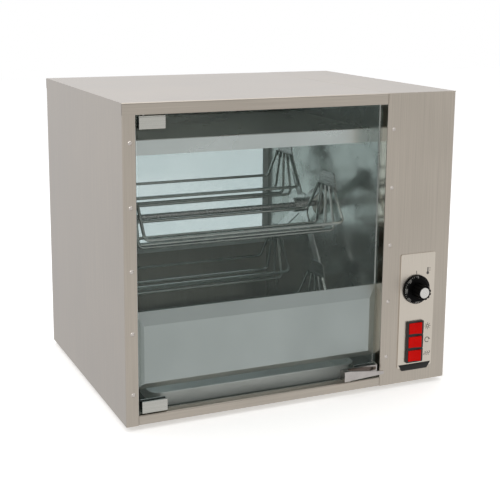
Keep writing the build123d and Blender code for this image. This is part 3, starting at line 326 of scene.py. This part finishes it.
def heat_tinted_sheath(name):
    """Nickel-alloy tube of a heating element after use."""
    # Red heat leaves a matt oxide in bands along the tube, from brown to a bluish grey.
    band_run, band_round, grit_size = 70, 25, 1.5
    brown, blue_grey = linear("#4A4038"), linear("#6C6A70")
    finish, tree, place = new_finish(name)
    band = add_node(tree, "Mapping", {
        "Vector": place, "Scale": (per_mm(band_run), per_mm(band_round), per_mm(band_round))})
    oxide = add_node(tree, "TexNoise", {
        "Vector": band.outputs["Vector"], "Scale": 1.0, "Detail": 4.0, "Roughness": 0.6})
    share = add_node(tree, "MapRange", {"Value": oxide.outputs["Fac"], **NARROW_RANGE})
    mixed = add_node(tree, "Mix", {
        FACTOR: share.outputs["Result"], COLOUR_A: shade(brown), COLOUR_B: shade(blue_grey)},
        data_type="RGBA")
    grit = add_node(tree, "TexNoise", {"Vector": place, "Scale": per_mm(grit_size), "Detail": 2.0})
    bump = add_node(tree, "Bump", {
        "Height": grit.outputs["Fac"], "Strength": 0.2, "Distance": 0.2 * MM})
    gloss = add_node(tree, "MapRange", {
        "Value": oxide.outputs["Fac"], "To Min": 0.38, "To Max": 0.62})
    shader = add_node(tree, "BsdfPrincipled", {
        "Base Color": mixed.outputs[COLOUR_OUT], "Roughness": gloss.outputs["Result"],
        "Normal": bump.outputs["Normal"], "Metallic": 1.0})
    add_node(tree, "OutputMaterial", {"Surface": shader.outputs["BSDF"]})
    return finish


def float_glass(name, colour, cover, through=0.0):
    """Toughened float glass, see-through with a film of haze."""
    # The pane lets most light through, and a thin, nearly even film of haze lies on it.
    film_size, spread = 90, 0.06
    finish, tree, place = new_finish(name)
    film = add_node(tree, "TexNoise", {
        "Vector": place, "Scale": per_mm(film_size), "Detail": 3.0, "Roughness": 0.5})
    veil = add_node(tree, "MapRange", {
        "Value": film.outputs["Fac"], **WIDE_RANGE, "To Min": cover * (1 - spread),
        "To Max": cover * (1 + spread)})
    gloss = add_node(tree, "MapRange", {
        "Value": film.outputs["Fac"], **WIDE_RANGE, "To Min": 0.02, "To Max": 0.07})
    shader = add_node(tree, "BsdfPrincipled", {
        "Base Color": shade(colour), "Roughness": gloss.outputs["Result"],
        "Alpha": veil.outputs["Result"], "IOR": 1.52, "Specular IOR Level": 0.8,
        "Transmission Weight": through})
    add_node(tree, "OutputMaterial", {"Surface": shader.outputs["BSDF"]})
    return finish


def moulded_plastic(name, colour, rough, grit=0.8, contrast=0.10, dent=0.10, ior=1.5, coat=0.0,
                    shine=0.5):
    """Moulded plastic, rubber, ceramic, enamel or stoved paint with a fine grain."""
    # A fine grain breaks up the highlight. At about 0.05 mm it is too fine to show, so it is
    # drawn near 1 mm, and larger patches of it differ a little in colour.
    patch_size = grit * 18
    finish, tree, place = new_finish(name)
    grain = add_node(tree, "TexNoise", {
        "Vector": place, "Scale": per_mm(grit), "Detail": 2.0, "Roughness": 0.6})
    patch = add_node(tree, "TexNoise", {
        "Vector": place, "Scale": per_mm(patch_size), "Detail": 2.0})
    share = add_node(tree, "MapRange", {"Value": patch.outputs["Fac"], **WIDE_RANGE})
    mixed = add_node(tree, "Mix", {
        FACTOR: share.outputs["Result"], COLOUR_A: shade(colour, 1 - contrast),
        COLOUR_B: shade(colour, 1 + contrast)}, data_type="RGBA")
    gloss = add_node(tree, "MapRange", {
        "Value": grain.outputs["Fac"], **WIDE_RANGE, "To Min": rough - 0.04,
        "To Max": rough + 0.06})
    bump = add_node(tree, "Bump", {
        "Height": grain.outputs["Fac"], "Strength": dent, "Distance": 0.2 * MM})
    shader = add_node(tree, "BsdfPrincipled", {
        "Base Color": mixed.outputs[COLOUR_OUT], "Roughness": gloss.outputs["Result"],
        "Normal": bump.outputs["Normal"], "IOR": ior, "Specular IOR Level": shine,
        "Coat Weight": coat, "Coat Roughness": 0.08})
    add_node(tree, "OutputMaterial", {"Surface": shader.outputs["BSDF"]})
    return finish


def spun_aluminium(name, colour, centre):
    """Turned aluminium disc with fine rings."""
    # Turning leaves concentric rings of about 0.1 mm, drawn 1.4 mm apart so that they show up
    # close. The wave texture runs through 20 radians to the unit at a scale of 1.
    ring_size, wave_radians = 1.4, 20
    finish, tree, place = new_finish(name)
    moved = add_node(tree, "Mapping", {
        "Vector": place, "Location": tuple(-part for part in centre)})
    rings = add_node(tree, "TexWave", {
        "Vector": moved.outputs["Vector"], "Scale": per_mm(ring_size) * math.tau / wave_radians,
        "Distortion": 0.3, "Detail": 1.0}, wave_type="RINGS", rings_direction="Y")
    mixed = add_node(tree, "Mix", {
        FACTOR: rings.outputs["Fac"], COLOUR_A: shade(colour, 0.94),
        COLOUR_B: shade(colour, 1.04)}, data_type="RGBA")
    gloss = add_node(tree, "MapRange", {
        "Value": rings.outputs["Fac"], "To Min": 0.24, "To Max": 0.34})
    shader = add_node(tree, "BsdfPrincipled", {
        "Base Color": mixed.outputs[COLOUR_OUT], "Roughness": gloss.outputs["Result"],
        "Metallic": 1.0})
    add_node(tree, "OutputMaterial", {"Surface": shader.outputs["BSDF"]})
    return finish


def screen_ink(name, colour):
    """Screen-printed ink."""
    # A thin matt film, a little uneven in density where the mesh of the screen held back.
    mesh_size = 0.7
    finish, tree, place = new_finish(name)
    mesh = add_node(tree, "TexNoise", {"Vector": place, "Scale": per_mm(mesh_size), "Detail": 1.0})
    share = add_node(tree, "MapRange", {"Value": mesh.outputs["Fac"], **WIDE_RANGE})
    mixed = add_node(tree, "Mix", {
        FACTOR: share.outputs["Result"], COLOUR_A: shade(colour, 0.86),
        COLOUR_B: shade(colour, 1.10)}, data_type="RGBA")
    shader = add_node(tree, "BsdfPrincipled", {
        "Base Color": mixed.outputs[COLOUR_OUT], "Roughness": 0.55})
    add_node(tree, "OutputMaterial", {"Surface": shader.outputs["BSDF"]})
    return finish


def dress(finish, *names):
    """Give CAD nodes a finish through their objects' material slots."""
    for name in names:
        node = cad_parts[name]
        if not node.material_slots:
            node.data.materials.append(finish)
        for slot in node.material_slots:
            slot.material = finish


def make_piece(name, shape, finish, body):
    """Turn a bmesh into an object at the origin that rides a body."""
    for face in shape.faces:
        face.smooth = True
    mesh = bpy.data.meshes.new(name)
    shape.to_mesh(mesh)
    shape.free()
    mesh.set_sharp_from_angle(angle=math.radians(30))
    mesh.materials.append(finish)
    piece = bpy.data.objects.new(name, mesh)
    bpy.context.scene.collection.objects.link(piece)
    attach(piece, body)
    return piece


def facing(origin, outward, up=(0, 0, 1)):
    """Matrix whose Z points outward and whose Y points up, at an origin."""
    depth = Vector(outward).normalized()
    right = Vector(up).cross(depth).normalized()
    turned = Matrix((right, depth.cross(right), depth)).transposed()
    return Matrix.Translation(Vector(origin)) @ turned.to_4x4()


def lettering(shape, text, height, place, thick):
    """Add printed characters to a bmesh, centred on a place."""
    digit_share = 0.7  # a digit's height as a share of the font's size
    curve = bpy.data.curves.new("lettering", "FONT")
    curve.body = text
    curve.size = height / digit_share
    curve.align_x = "CENTER"
    curve.align_y = "CENTER"
    curve.extrude = thick / 2
    curve.resolution_u = 3
    holder = bpy.data.objects.new("lettering", curve)
    bpy.context.scene.collection.objects.link(holder)
    bpy.context.view_layer.update()
    solid = holder.evaluated_get(bpy.context.evaluated_depsgraph_get())
    mesh = bpy.data.meshes.new_from_object(solid)
    mesh.transform(place)
    shape.from_mesh(mesh)
    bpy.data.objects.remove(holder)
    bpy.data.curves.remove(curve)
    bpy.data.meshes.remove(mesh)


def bar(shape, size, place):
    """Add a flat printed bar of a given width, height and thickness."""
    made = bmesh.ops.create_cube(shape, size=1.0)["verts"]
    bmesh.ops.scale(shape, vec=size, verts=made)
    bmesh.ops.transform(shape, matrix=place, verts=made)


def ring(shape, radius, width, thick, place, sweep=math.tau, start=0.0, steps=24):
    """Add a flat printed ring or arc by spinning its section."""
    centre = (0, 0, 0)
    made = bmesh.ops.create_grid(shape, x_segments=1, y_segments=1, size=0.5)["verts"]
    bmesh.ops.scale(shape, vec=(width, thick, 1), verts=made)
    bmesh.ops.rotate(shape, cent=centre, matrix=Matrix.Rotation(math.pi / 2, 3, "X"), verts=made)
    bmesh.ops.translate(shape, vec=(radius, 0, 0), verts=made)
    bmesh.ops.rotate(shape, cent=centre, matrix=Matrix.Rotation(start, 3, "Z"), verts=made)
    whole = sweep >= math.tau - 0.001
    before = set(shape.verts) - set(made)
    faces = list({face for vert in made for face in vert.link_faces})
    edges = list({edge for vert in made for edge in vert.link_edges})
    bmesh.ops.spin(shape, geom=made + edges + faces, cent=centre, axis=(0, 0, 1), angle=sweep,
                   steps=steps, use_merge=whole, use_duplicate=False)
    fresh = [vert for vert in shape.verts if vert not in before]
    if whole:
        bmesh.ops.delete(shape, geom=[face for face in faces if face.is_valid],
                         context="FACES_ONLY")
    bmesh.ops.recalc_face_normals(
        shape, faces=list({face for vert in fresh for face in vert.link_faces}))
    bmesh.ops.transform(shape, matrix=place, verts=fresh)


def screw_head(shape, radius, height, place):
    """Add a button-head screw with a socket to a bmesh."""
    crown_share, rounding, socket_depth = 0.72, 0.3, 0.5
    land, socket_wall = 0.22, 0.02
    head = bmesh.new()
    bmesh.ops.create_cone(head, cap_ends=True, segments=24, radius1=radius,
                          radius2=radius * crown_share, depth=height)
    crown = max(head.faces, key=lambda face: face.calc_center_median().z)
    bmesh.ops.bevel(head, geom=list(crown.edges), offset=height * rounding, affect="EDGES",
                    segments=3, profile=0.5, material=-1)
    crown = max(head.faces, key=lambda face: face.calc_center_median().z)
    for inset in (land, socket_wall):
        bmesh.ops.inset_region(head, faces=[crown], thickness=radius * inset, depth=0.0,
                               use_even_offset=True)
    bmesh.ops.translate(head, vec=(0, 0, -height * socket_depth), verts=list(crown.verts))
    bmesh.ops.transform(head, matrix=place @ Matrix.Translation((0, 0, height / 2)),
                        verts=head.verts)
    mesh = bpy.data.meshes.new("screw_head")
    head.to_mesh(mesh)
    head.free()
    shape.from_mesh(mesh)
    bpy.data.meshes.remove(mesh)


class ROTISSERIE_OT_casing(bpy.types.Operator):
    """Finish the outer sheets, their rivets, the feet and the cable gland"""

    bl_idname = "rotisserie.casing"
    bl_label = "Casing finishes"

    def execute(self, context):
        colours = context.scene.rotisserie_colours
        upright = brushed_stainless("stainless brushed upright", colours.casing, 2, 0.34)
        level = brushed_stainless("stainless brushed crosswise", colours.casing, 0, 0.34)
        deep = brushed_stainless("stainless brushed front to back", colours.casing, 1, 0.36)
        rear = brushed_stainless("stainless rear panel", linear("#B4AEA4"), 2, 0.34)
        fold = (COLUMN_LOW.x + FOLD_BESIDE, COLUMN_LOW.y + FOLD_BEHIND)
        folded = brushed_stainless("stainless folded column", colours.casing, 2, 0.34, fold=fold)
        dress(upright, "left_side_panel", "column_back")
        dress(rear, "rear_panel")
        dress(folded, "control_column")
        dress(level, "top_cover", "base_pan")
        dress(deep, "column_lid")
        dress(plated_metal("stainless rivet heads", linear("#CFC8C1"), 0.30, 2.0), "panel_rivets")
        dress(moulded_plastic("black nitrile rubber feet", linear("#1D1C1B"), 0.65, 1.2), "feet")
        dress(moulded_plastic("black nylon cable gland", linear("#1A1A1A"), 0.42), "cable_gland")
        dress(moulded_plastic("white nylon terminal block", linear("#CFCBC0"), 0.45),
              "terminal_block")
        return {"FINISHED"}


class ROTISSERIE_OT_chamber(bpy.types.Operator):
    """Finish the chamber's walls, hood, elements, splash guard and drip tray"""

    bl_idname = "rotisserie.chamber"
    bl_label = "Chamber finishes"

    def execute(self, context):
        colours = context.scene.rotisserie_colours
        dress(polished_stainless("stainless bright annealed walls", colours.chamber, 0.17),
              "partition", "left_liner")
        dress(moulded_plastic("pale grey enamelled window frame", linear("#E3E9E5"), 0.42, 1.2,
                              0.05), "rear_window_frame")
        dress(polished_stainless("stainless folded hood", linear("#F2FAF7"), 0.24, 120, 0.03),
              "reflector_hood")
        dress(polished_stainless("stainless pressed guard", linear("#D6DEDB"), 0.28, 150, 0.04),
              "splash_guard", "tray_runners")
        dress(polished_stainless("stainless pressed drip tray", linear("#F0F4F0"), 0.50, 70, 0.05),
              "drip_tray")
        dress(heat_tinted_sheath("heat tinted element sheath"), "heating_element_front",
              "heating_element_rear")
        dress(plated_metal("zinc plated fittings", linear("#B8B5A8"), 0.34, 3.0),
              "element_fittings", "element_hangers", "motor_standoffs")
        dress(float_glass("toughened rear glass", linear("#B9CCCD"), 0.85, 1.0), "rear_glass")
        return {"FINISHED"}


class ROTISSERIE_OT_door(bpy.types.Operator):
    """Finish the door's glass, clamps, pins, pads and handle"""

    bl_idname = "rotisserie.door"
    bl_label = "Door finishes"

    def execute(self, context):
        colours = context.scene.rotisserie_colours
        dress(float_glass("toughened door glass", colours.glass, 0.15), "door_glass")
        dress(brushed_stainless("stainless hinge clamps", linear("#C4C3BC"), 0, 0.26, 1.2),
              "hinge_clamp_top", "hinge_clamp_bottom")
        dress(plated_metal("turned steel hinge pins", linear("#B5B3AE"), 0.28, 2.0), "hinge_pins",
              "hinge_blocks")
        dress(plated_metal("chromed handle", linear("#BDB7B3"), 0.14, 14.0, 0.06, 0.02),
              "door_handle")
        dress(moulded_plastic("black silicone pads", linear("#202020"), 0.6), "glass_pads")
        return {"FINISHED"}


class ROTISSERIE_OT_rotor(bpy.types.Operator):
    """Finish the shaft, spiders, baskets, bearings and drive"""

    bl_idname = "rotisserie.rotor"
    bl_label = "Rotor finishes"

    def execute(self, context):
        wires = [f"basket_{number}_wires" for number in BASKETS]
        plates = [f"basket_{number}_hangers" for number in BASKETS]
        dress(plated_metal("ground stainless shaft", linear("#C3C4C1"), 0.24, 5.0), "rotor_shaft",
              "hub_collars", "output_shaft", "drive_coupling")
        dress(brushed_stainless("laser cut stainless spiders", linear("#D2D5D2"), 2, 0.28, 1.0),
              "spider_left", "spider_right")
        dress(plated_metal("nickel chromed basket wire", linear("#B6BDB7"), 0.20, 8.0), *wires)
        dress(brushed_stainless("stainless basket plates", linear("#9A9B97"), 1, 0.28, 1.0),
              *plates)
        dress(plated_metal("sintered bronze bushes", linear("#8E877B"), 0.38, 1.2, 0.18, 0.2),
              "left_bearing", "right_bearing")
        dress(plated_metal("die cast gear case", linear("#8C8E90"), 0.46, 1.6, 0.12, 0.25),
              "gearbox")
        dress(moulded_plastic("stoved grey motor paint", linear("#3B3F44"), 0.36, 1.0, coat=0.3),
              "drive_motor")
        return {"FINISHED"}


class ROTISSERIE_OT_controls(bpy.types.Operator):
    """Finish the control plate, thermostat, knob and switches"""

    bl_idname = "rotisserie.controls"
    bl_label = "Control finishes"

    def execute(self, context):
        colours = context.scene.rotisserie_colours
        low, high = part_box("knob_cap")
        housings = [f"switch_housing_{place}" for place in SWITCHES]
        rockers = [f"rocker_{place}" for place in SWITCHES]
        dress(brushed_stainless("stainless control plate", colours.plate, 2, 0.30, 1.1, 0.05),
              "control_panel")
        dress(moulded_plastic("black phenolic knob", colours.knob, 0.46, 0.9, shine=0.07),
              "thermostat_knob")
        dress(spun_aluminium("spun aluminium cap", linear("#E4E2DD"), (low + high) / 2),
              "knob_cap")
        dress(moulded_plastic("black nylon switch housing", colours.switch, 0.40), *housings)
        dress(moulded_plastic("red polycarbonate rocker", colours.rocker, 0.24, 1.4, 0.08, 0.04,
                              1.58, shine=0.06), *rockers)
        dress(moulded_plastic("ivory steatite thermostat", linear("#D9D1BD"), 0.5),
              "thermostat_body")
        dress(plated_metal("turned steel thermostat shaft", linear("#B7B5B0"), 0.3, 2.0),
              "thermostat_stem")
        return {"FINISHED"}


class ROTISSERIE_OT_dial(bpy.types.Operator):
    """Print the dial's numbers and ticks on the knob's sloping skirt"""

    bl_idname = "rotisserie.dial"
    bl_label = "Dial numbers"

    def execute(self, context):
        sizes = context.scene.rotisserie_sizes
        number_inset = SKIRT_IN * 0.56
        tick_inset = sizes.tick_length * 0.75
        rim = (KNOB_HIGH.x - KNOB_LOW.x) / 2
        middle = Vector((CONTROL_X, KNOB_HIGH.y - SKIRT_RIM, KNOB_Z))
        marks = sizes.dial_steps * TICKS_PER_STEP
        shape = bmesh.new()
        for mark in range(marks + 1):
            # The dial turns clockwise under a fixed mark, so its numbers run the other way round.
            turn = sizes.dial_sweep * mark / marks
            away = Vector((-math.sin(turn), 0, math.cos(turn)))
            outward = away * SKIRT_FORWARD + Vector((0, -SKIRT_IN, 0))
            inward = (Vector((0, -SKIRT_FORWARD, 0)) - away * SKIRT_IN).normalized()
            edge = middle + away * rim + outward.normalized() * sizes.ink_thick
            if mark % TICKS_PER_STEP == 0:
                lettering(shape, str(round(sizes.dial_top * mark / marks)), sizes.digit_height,
                          facing(edge + inward * number_inset, outward, away), sizes.ink_thick)
            else:
                bar(shape, (TICK_WIDTH, sizes.tick_length, sizes.ink_thick),
                    facing(edge + inward * tick_inset, outward, away))
        bmesh.ops.recalc_face_normals(shape, faces=shape.faces)
        ink = screen_ink("white printed dial ink", context.scene.rotisserie_colours.dial_ink)
        make_piece("dial_numbers", shape, ink, "knob")
        return {"FINISHED"}


class ROTISSERIE_OT_plate_signs(bpy.types.Operator):
    """Print the dial's mark and the sign beside each switch on the control plate"""

    bl_idname = "rotisserie.plate_signs"
    bl_label = "Control plate signs"

    def execute(self, context):
        sizes = context.scene.rotisserie_sizes
        thick, size = sizes.ink_thick, sizes.sign_size
        shape = bmesh.new()

        def at(x, z):
            return facing((x, PLATE_LOW.y - thick, z), (0, -1, 0))

        bar(shape, (POINTER_WIDTH, POINTER_HEIGHT, thick),
            at(CONTROL_X, KNOB_HIGH.z + POINTER_UP))
        gauge_x, gauge_z = CONTROL_X + GAUGE_RIGHT, KNOB_HIGH.z + GAUGE_UP
        bar(shape, (STEM_WIDTH, STEM_HEIGHT, thick), at(gauge_x, gauge_z + STEM_UP))
        ring(shape, BULB_RADIUS, BULB_RADIUS * 2, thick, at(gauge_x, gauge_z - BULB_DOWN))
        for step in range(DASHES):
            bar(shape, (DASH_WIDTH, DASH_HEIGHT, thick),
                at(gauge_x + DASH_RIGHT, gauge_z + DASH_UP + DASH_SPACING * step))

        sign_x = (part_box("switch_housing_top")[1].x + PLATE_HIGH.x) / 2
        lamp_z, arrow_z, wave_z = (sum(corner.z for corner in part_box(f"rocker_{place}")) / 2
                                   for place in SWITCHES)
        # Lamp
        ring(shape, size * LAMP_RADIUS, size * LAMP_LINE, thick, at(sign_x, lamp_z))
        reach = Matrix.Translation((0, size * RAY_OUT, 0))
        for step in range(LAMP_RAYS):
            turn = Matrix.Rotation(math.tau * step / LAMP_RAYS, 4, "Z")
            bar(shape, (size * RAY_WIDTH, size * RAY_LENGTH, thick),
                at(sign_x, lamp_z) @ turn @ reach)
        # Turning arrow
        ring(shape, size * ARROW_RADIUS, size * ARROW_LINE, thick, at(sign_x, arrow_z),
             ARROW_SWEEP, ARROW_START)
        head = bmesh.ops.create_cone(shape, cap_ends=True, segments=3, radius1=size * ARROW_HEAD,
                                     radius2=size * ARROW_HEAD, depth=thick)["verts"]
        tip = (Matrix.Rotation(ARROW_TIP, 4, "Z")
               @ Matrix.Translation((size * ARROW_RADIUS, 0, 0)))
        bmesh.ops.transform(shape, matrix=at(sign_x, arrow_z) @ tip, verts=head)
        # Heat waves
        for step in (-1, 0, 1):
            wave_x = sign_x + size * (WAVE_SPACING * step + WAVE_RIGHT)
            for side in (1, -1):
                ring(shape, size * WAVE_RADIUS, size * WAVE_LINE, thick,
                     at(wave_x, wave_z + size * WAVE_RADIUS * side), math.pi,
                     -side * math.pi / 2, WAVE_STEPS)
        bmesh.ops.recalc_face_normals(shape, faces=shape.faces)
        ink = screen_ink("grey printed plate ink", context.scene.rotisserie_colours.ink)
        make_piece("plate_signs", shape, ink, "casing")
        return {"FINISHED"}


class ROTISSERIE_OT_badge(bpy.types.Operator):
    """Fix the bare trapezoid badge at the foot of the control plate"""

    bl_idname = "rotisserie.badge"
    bl_label = "Bare badge"

    def execute(self, context):
        sizes = context.scene.rotisserie_sizes
        front = PLATE_LOW.y - sizes.badge_thick
        depth = COLUMN_LOW.y - front
        shape = bmesh.new()
        made = bmesh.ops.create_cube(shape, size=1.0)["verts"]
        bmesh.ops.scale(shape, vec=(sizes.badge_width, depth, sizes.badge_height), verts=made)
        for vert in made:
            if vert.co.z < 0:
                vert.co.x *= sizes.badge_foot / sizes.badge_width
        bmesh.ops.translate(shape, vec=(PLATE_X, COLUMN_LOW.y - depth / 2, PLATE_LOW.z + BADGE_UP),
                            verts=made)
        # The back is stepped: the upper half lies on the plate and the lower half on the column.
        bmesh.ops.bisect_plane(shape, geom=shape.verts[:] + shape.edges[:] + shape.faces[:],
                               plane_co=(0, 0, PLATE_LOW.z - BADGE_STEP), plane_no=(0, 0, 1))
        for vert in shape.verts:
            if vert.co.z > PLATE_LOW.z and vert.co.y > PLATE_LOW.y:
                vert.co.y = PLATE_LOW.y - BADGE_GAP
        near, sharp = front + 0.1 * MM, 0.5
        rim = [edge for edge in shape.edges if all(vert.co.y < near for vert in edge.verts)
               and len(edge.link_faces) == 2 and edge.calc_face_angle(0) > sharp]
        bmesh.ops.bevel(shape, geom=rim, offset=BADGE_BEVEL, affect="EDGES", segments=2,
                        profile=0.5, material=-1)
        bmesh.ops.recalc_face_normals(shape, faces=shape.faces)
        skin = moulded_plastic("black anodised badge", context.scene.rotisserie_colours.badge,
                               0.34, 0.9, shine=0.3)
        make_piece("bare_badge", shape, skin, "casing")
        return {"FINISHED"}


class ROTISSERIE_OT_screws(bpy.types.Operator):
    """Fix the screws that hold the back of the casing"""

    bl_idname = "rotisserie.screws"
    bl_label = "Back screws"

    def execute(self, context):
        sizes = context.scene.rotisserie_sizes
        shape = bmesh.new()
        columns = (SIDE_LOW.x + SCREW_LEFT, BACK_LOW.x + SCREW_SEAM, BACK_HIGH.x - SCREW_RIGHT)
        low, high = BACK_LOW.z + SCREW_ENDS, BACK_HIGH.z - SCREW_ENDS
        for row in range(SCREW_ROWS):
            z = low + (high - low) * row / (SCREW_ROWS - 1)
            for x in columns:
                screw_head(shape, sizes.screw_radius, sizes.screw_height,
                           facing((x, BACK_HIGH.y, z), (0, 1, 0)))
        steel = plated_metal("stainless casing screws", linear("#C9C6C0"), 0.26, 2.0)
        make_piece("back_screws", shape, steel, "casing")
        return {"FINISHED"}


def lay_floor(scene, settings):
    """Lay the pale floor, which glows a little."""
    patch_size = 400
    shape = bmesh.new()
    bmesh.ops.create_grid(shape, x_segments=8, y_segments=8, size=FLOOR_HALF)
    mesh = bpy.data.meshes.new("studio_floor")
    shape.to_mesh(mesh)
    shape.free()
    floor = bpy.data.objects.new("studio_floor", mesh)
    scene.collection.objects.link(floor)
    # Matt painted board, all but even in colour
    pale = scene.rotisserie_colours.floor
    finish, tree, place = new_finish("matt studio floor")
    patch = add_node(tree, "TexNoise", {
        "Vector": place, "Scale": per_mm(patch_size), "Detail": 2.0})
    share = add_node(tree, "MapRange", {"Value": patch.outputs["Fac"], **WIDE_RANGE})
    mixed = add_node(tree, "Mix", {
        FACTOR: share.outputs["Result"], COLOUR_A: shade(pale, 0.99),
        COLOUR_B: shade(pale, 1.01)}, data_type="RGBA")
    shader = add_node(tree, "BsdfPrincipled", {
        "Base Color": mixed.outputs[COLOUR_OUT], "Roughness": 0.8, "Specular IOR Level": 0.1,
        "Emission Color": shade(pale), "Emission Strength": settings.floor_glow})
    add_node(tree, "OutputMaterial", {"Surface": shader.outputs["BSDF"]})
    mesh.materials.append(finish)
    # The lit floor is left out of reflections, so that it doesn't light the casing from below.
    floor.visible_diffuse = False
    floor.visible_glossy = False


def light_studio(scene, settings):
    """Set the studio's surroundings and its soft boxes."""
    # In front the white table is brighter than the room above it, and behind the backdrop is
    # brighter than the table and a little cooler. Seen directly the studio is white.
    world = bpy.data.worlds.new("studio")
    world.use_nodes = True
    scene.world = world
    tree = world.node_tree
    tree.nodes.clear()
    way = add_node(tree, "SeparateXYZ", {
        "Vector": add_node(tree, "TexCoord").outputs["Generated"]})
    depth = add_node(tree, "MapRange", {
        "Value": way.outputs["Y"], "From Min": -1.0, "From Max": 1.0})
    front = add_node(tree, "MapRange", {
        "Value": way.outputs["Z"], "From Min": -0.25, "From Max": 0.60,
        "To Min": settings.front_low, "To Max": settings.front_high})
    behind = add_node(tree, "MapRange", {
        "Value": way.outputs["Z"], "From Min": -0.35, "From Max": 0.35,
        "To Min": settings.back_low, "To Max": settings.back_high})
    level = add_node(tree, "Mix", {
        FACTOR: depth.outputs["Result"], NUMBER_A: front.outputs["Result"],
        NUMBER_B: behind.outputs["Result"]}, data_type="FLOAT")
    cast = add_node(tree, "Mix", {
        FACTOR: depth.outputs["Result"], COLOUR_A: WHITE, COLOUR_B: COOL_WHITE}, data_type="RGBA")
    dim = add_node(tree, "Background", {
        "Color": cast.outputs[COLOUR_OUT], "Strength": level.outputs[NUMBER_OUT]})
    plain = add_node(tree, "Background", {"Color": WHITE, "Strength": 1.0})
    direct = add_node(tree, "LightPath").outputs["Is Camera Ray"]
    sky = add_node(tree, "MixShader", {
        0: direct, 1: dim.outputs["Background"], 2: plain.outputs["Background"]})
    add_node(tree, "OutputWorld", {"Surface": sky.outputs["Shader"]})

    for name, place, size, power in SOFT_BOXES:
        lamp = bpy.data.lights.new(name, "AREA")
        lamp.size = size
        lamp.energy = power
        holder = bpy.data.objects.new(name, lamp)
        holder.location = place
        aim = LIGHT_TARGET - Vector(place)
        holder.rotation_euler = aim.to_track_quat("-Z", "Y").to_euler()
        scene.collection.objects.link(holder)


def place_camera(scene, settings):
    """Stand the camera at the photograph's viewing angle."""
    lens = bpy.data.cameras.new("photo_camera")
    lens.sensor_width = 36.0
    lens.lens = settings.lens
    lens.shift_y = settings.shift
    camera = bpy.data.objects.new("photo_camera", lens)
    scene.collection.objects.link(camera)
    turn, tilt, roll = settings.azimuth, settings.elevation, settings.roll
    back = Vector((math.sin(turn) * math.cos(tilt), -math.cos(turn) * math.cos(tilt),
                   math.sin(tilt)))
    right = Vector((math.cos(turn), math.sin(turn), 0))
    up = back.cross(right)
    across = right * math.cos(roll) + up * math.sin(roll)
    above = up * math.cos(roll) - right * math.sin(roll)
    camera.matrix_world = (Matrix.Translation(Vector(settings.camera_place))
                           @ Matrix((across, above, back)).transposed().to_4x4())
    scene.camera = camera


class ROTISSERIE_OT_stage(bpy.types.Operator):
    """Set the floor, the studio light and the camera"""

    bl_idname = "rotisserie.stage"
    bl_label = "Stage"

    def execute(self, context):
        scene = context.scene
        settings = scene.rotisserie_stage
        lay_floor(scene, settings)
        light_studio(scene, settings)
        place_camera(scene, settings)
        scene.view_settings.view_transform = "Standard"
        return {"FINISHED"}


STEPS = (ROTISSERIE_OT_casing, ROTISSERIE_OT_chamber, ROTISSERIE_OT_door, ROTISSERIE_OT_rotor,
         ROTISSERIE_OT_controls, ROTISSERIE_OT_dial, ROTISSERIE_OT_plate_signs,
         ROTISSERIE_OT_badge, ROTISSERIE_OT_screws, ROTISSERIE_OT_stage)


class ROTISSERIE_PT_panel(bpy.types.Panel):
    """Sizes, colours and steps of the rotisserie"""

    bl_idname = "ROTISSERIE_PT_panel"
    bl_label = "Chicken rotisserie"
    bl_space_type = "VIEW_3D"
    bl_region_type = "UI"
    bl_category = "Rotisserie"

    def draw(self, context):
        scene = context.scene
        for group in (scene.rotisserie_sizes, scene.rotisserie_colours, scene.rotisserie_stage):
            box = self.layout.box()
            for key in group.__annotations__:
                box.prop(group, key)
        for step in STEPS:
            self.layout.operator(step.bl_idname)


CLASSES = (RotisserieSizes, RotisserieColours, RotisserieStage) + STEPS + (ROTISSERIE_PT_panel,)


def register():
    for kind in CLASSES:
        bpy.utils.register_class(kind)
    bpy.types.Scene.rotisserie_sizes = PointerProperty(type=RotisserieSizes)
    bpy.types.Scene.rotisserie_colours = PointerProperty(type=RotisserieColours)
    bpy.types.Scene.rotisserie_stage = PointerProperty(type=RotisserieStage)


def unregister():
    del bpy.types.Scene.rotisserie_stage
    del bpy.types.Scene.rotisserie_colours
    del bpy.types.Scene.rotisserie_sizes
    for kind in reversed(CLASSES):
        bpy.utils.unregister_class(kind)


def main():
    register()
    bpy.ops.rotisserie.casing()
    bpy.ops.rotisserie.chamber()
    bpy.ops.rotisserie.door()
    bpy.ops.rotisserie.rotor()
    bpy.ops.rotisserie.controls()
    bpy.ops.rotisserie.dial()
    bpy.ops.rotisserie.plate_signs()
    bpy.ops.rotisserie.badge()
    bpy.ops.rotisserie.screws()
    bpy.ops.rotisserie.stage()


if __name__ == "__main__":
    main()
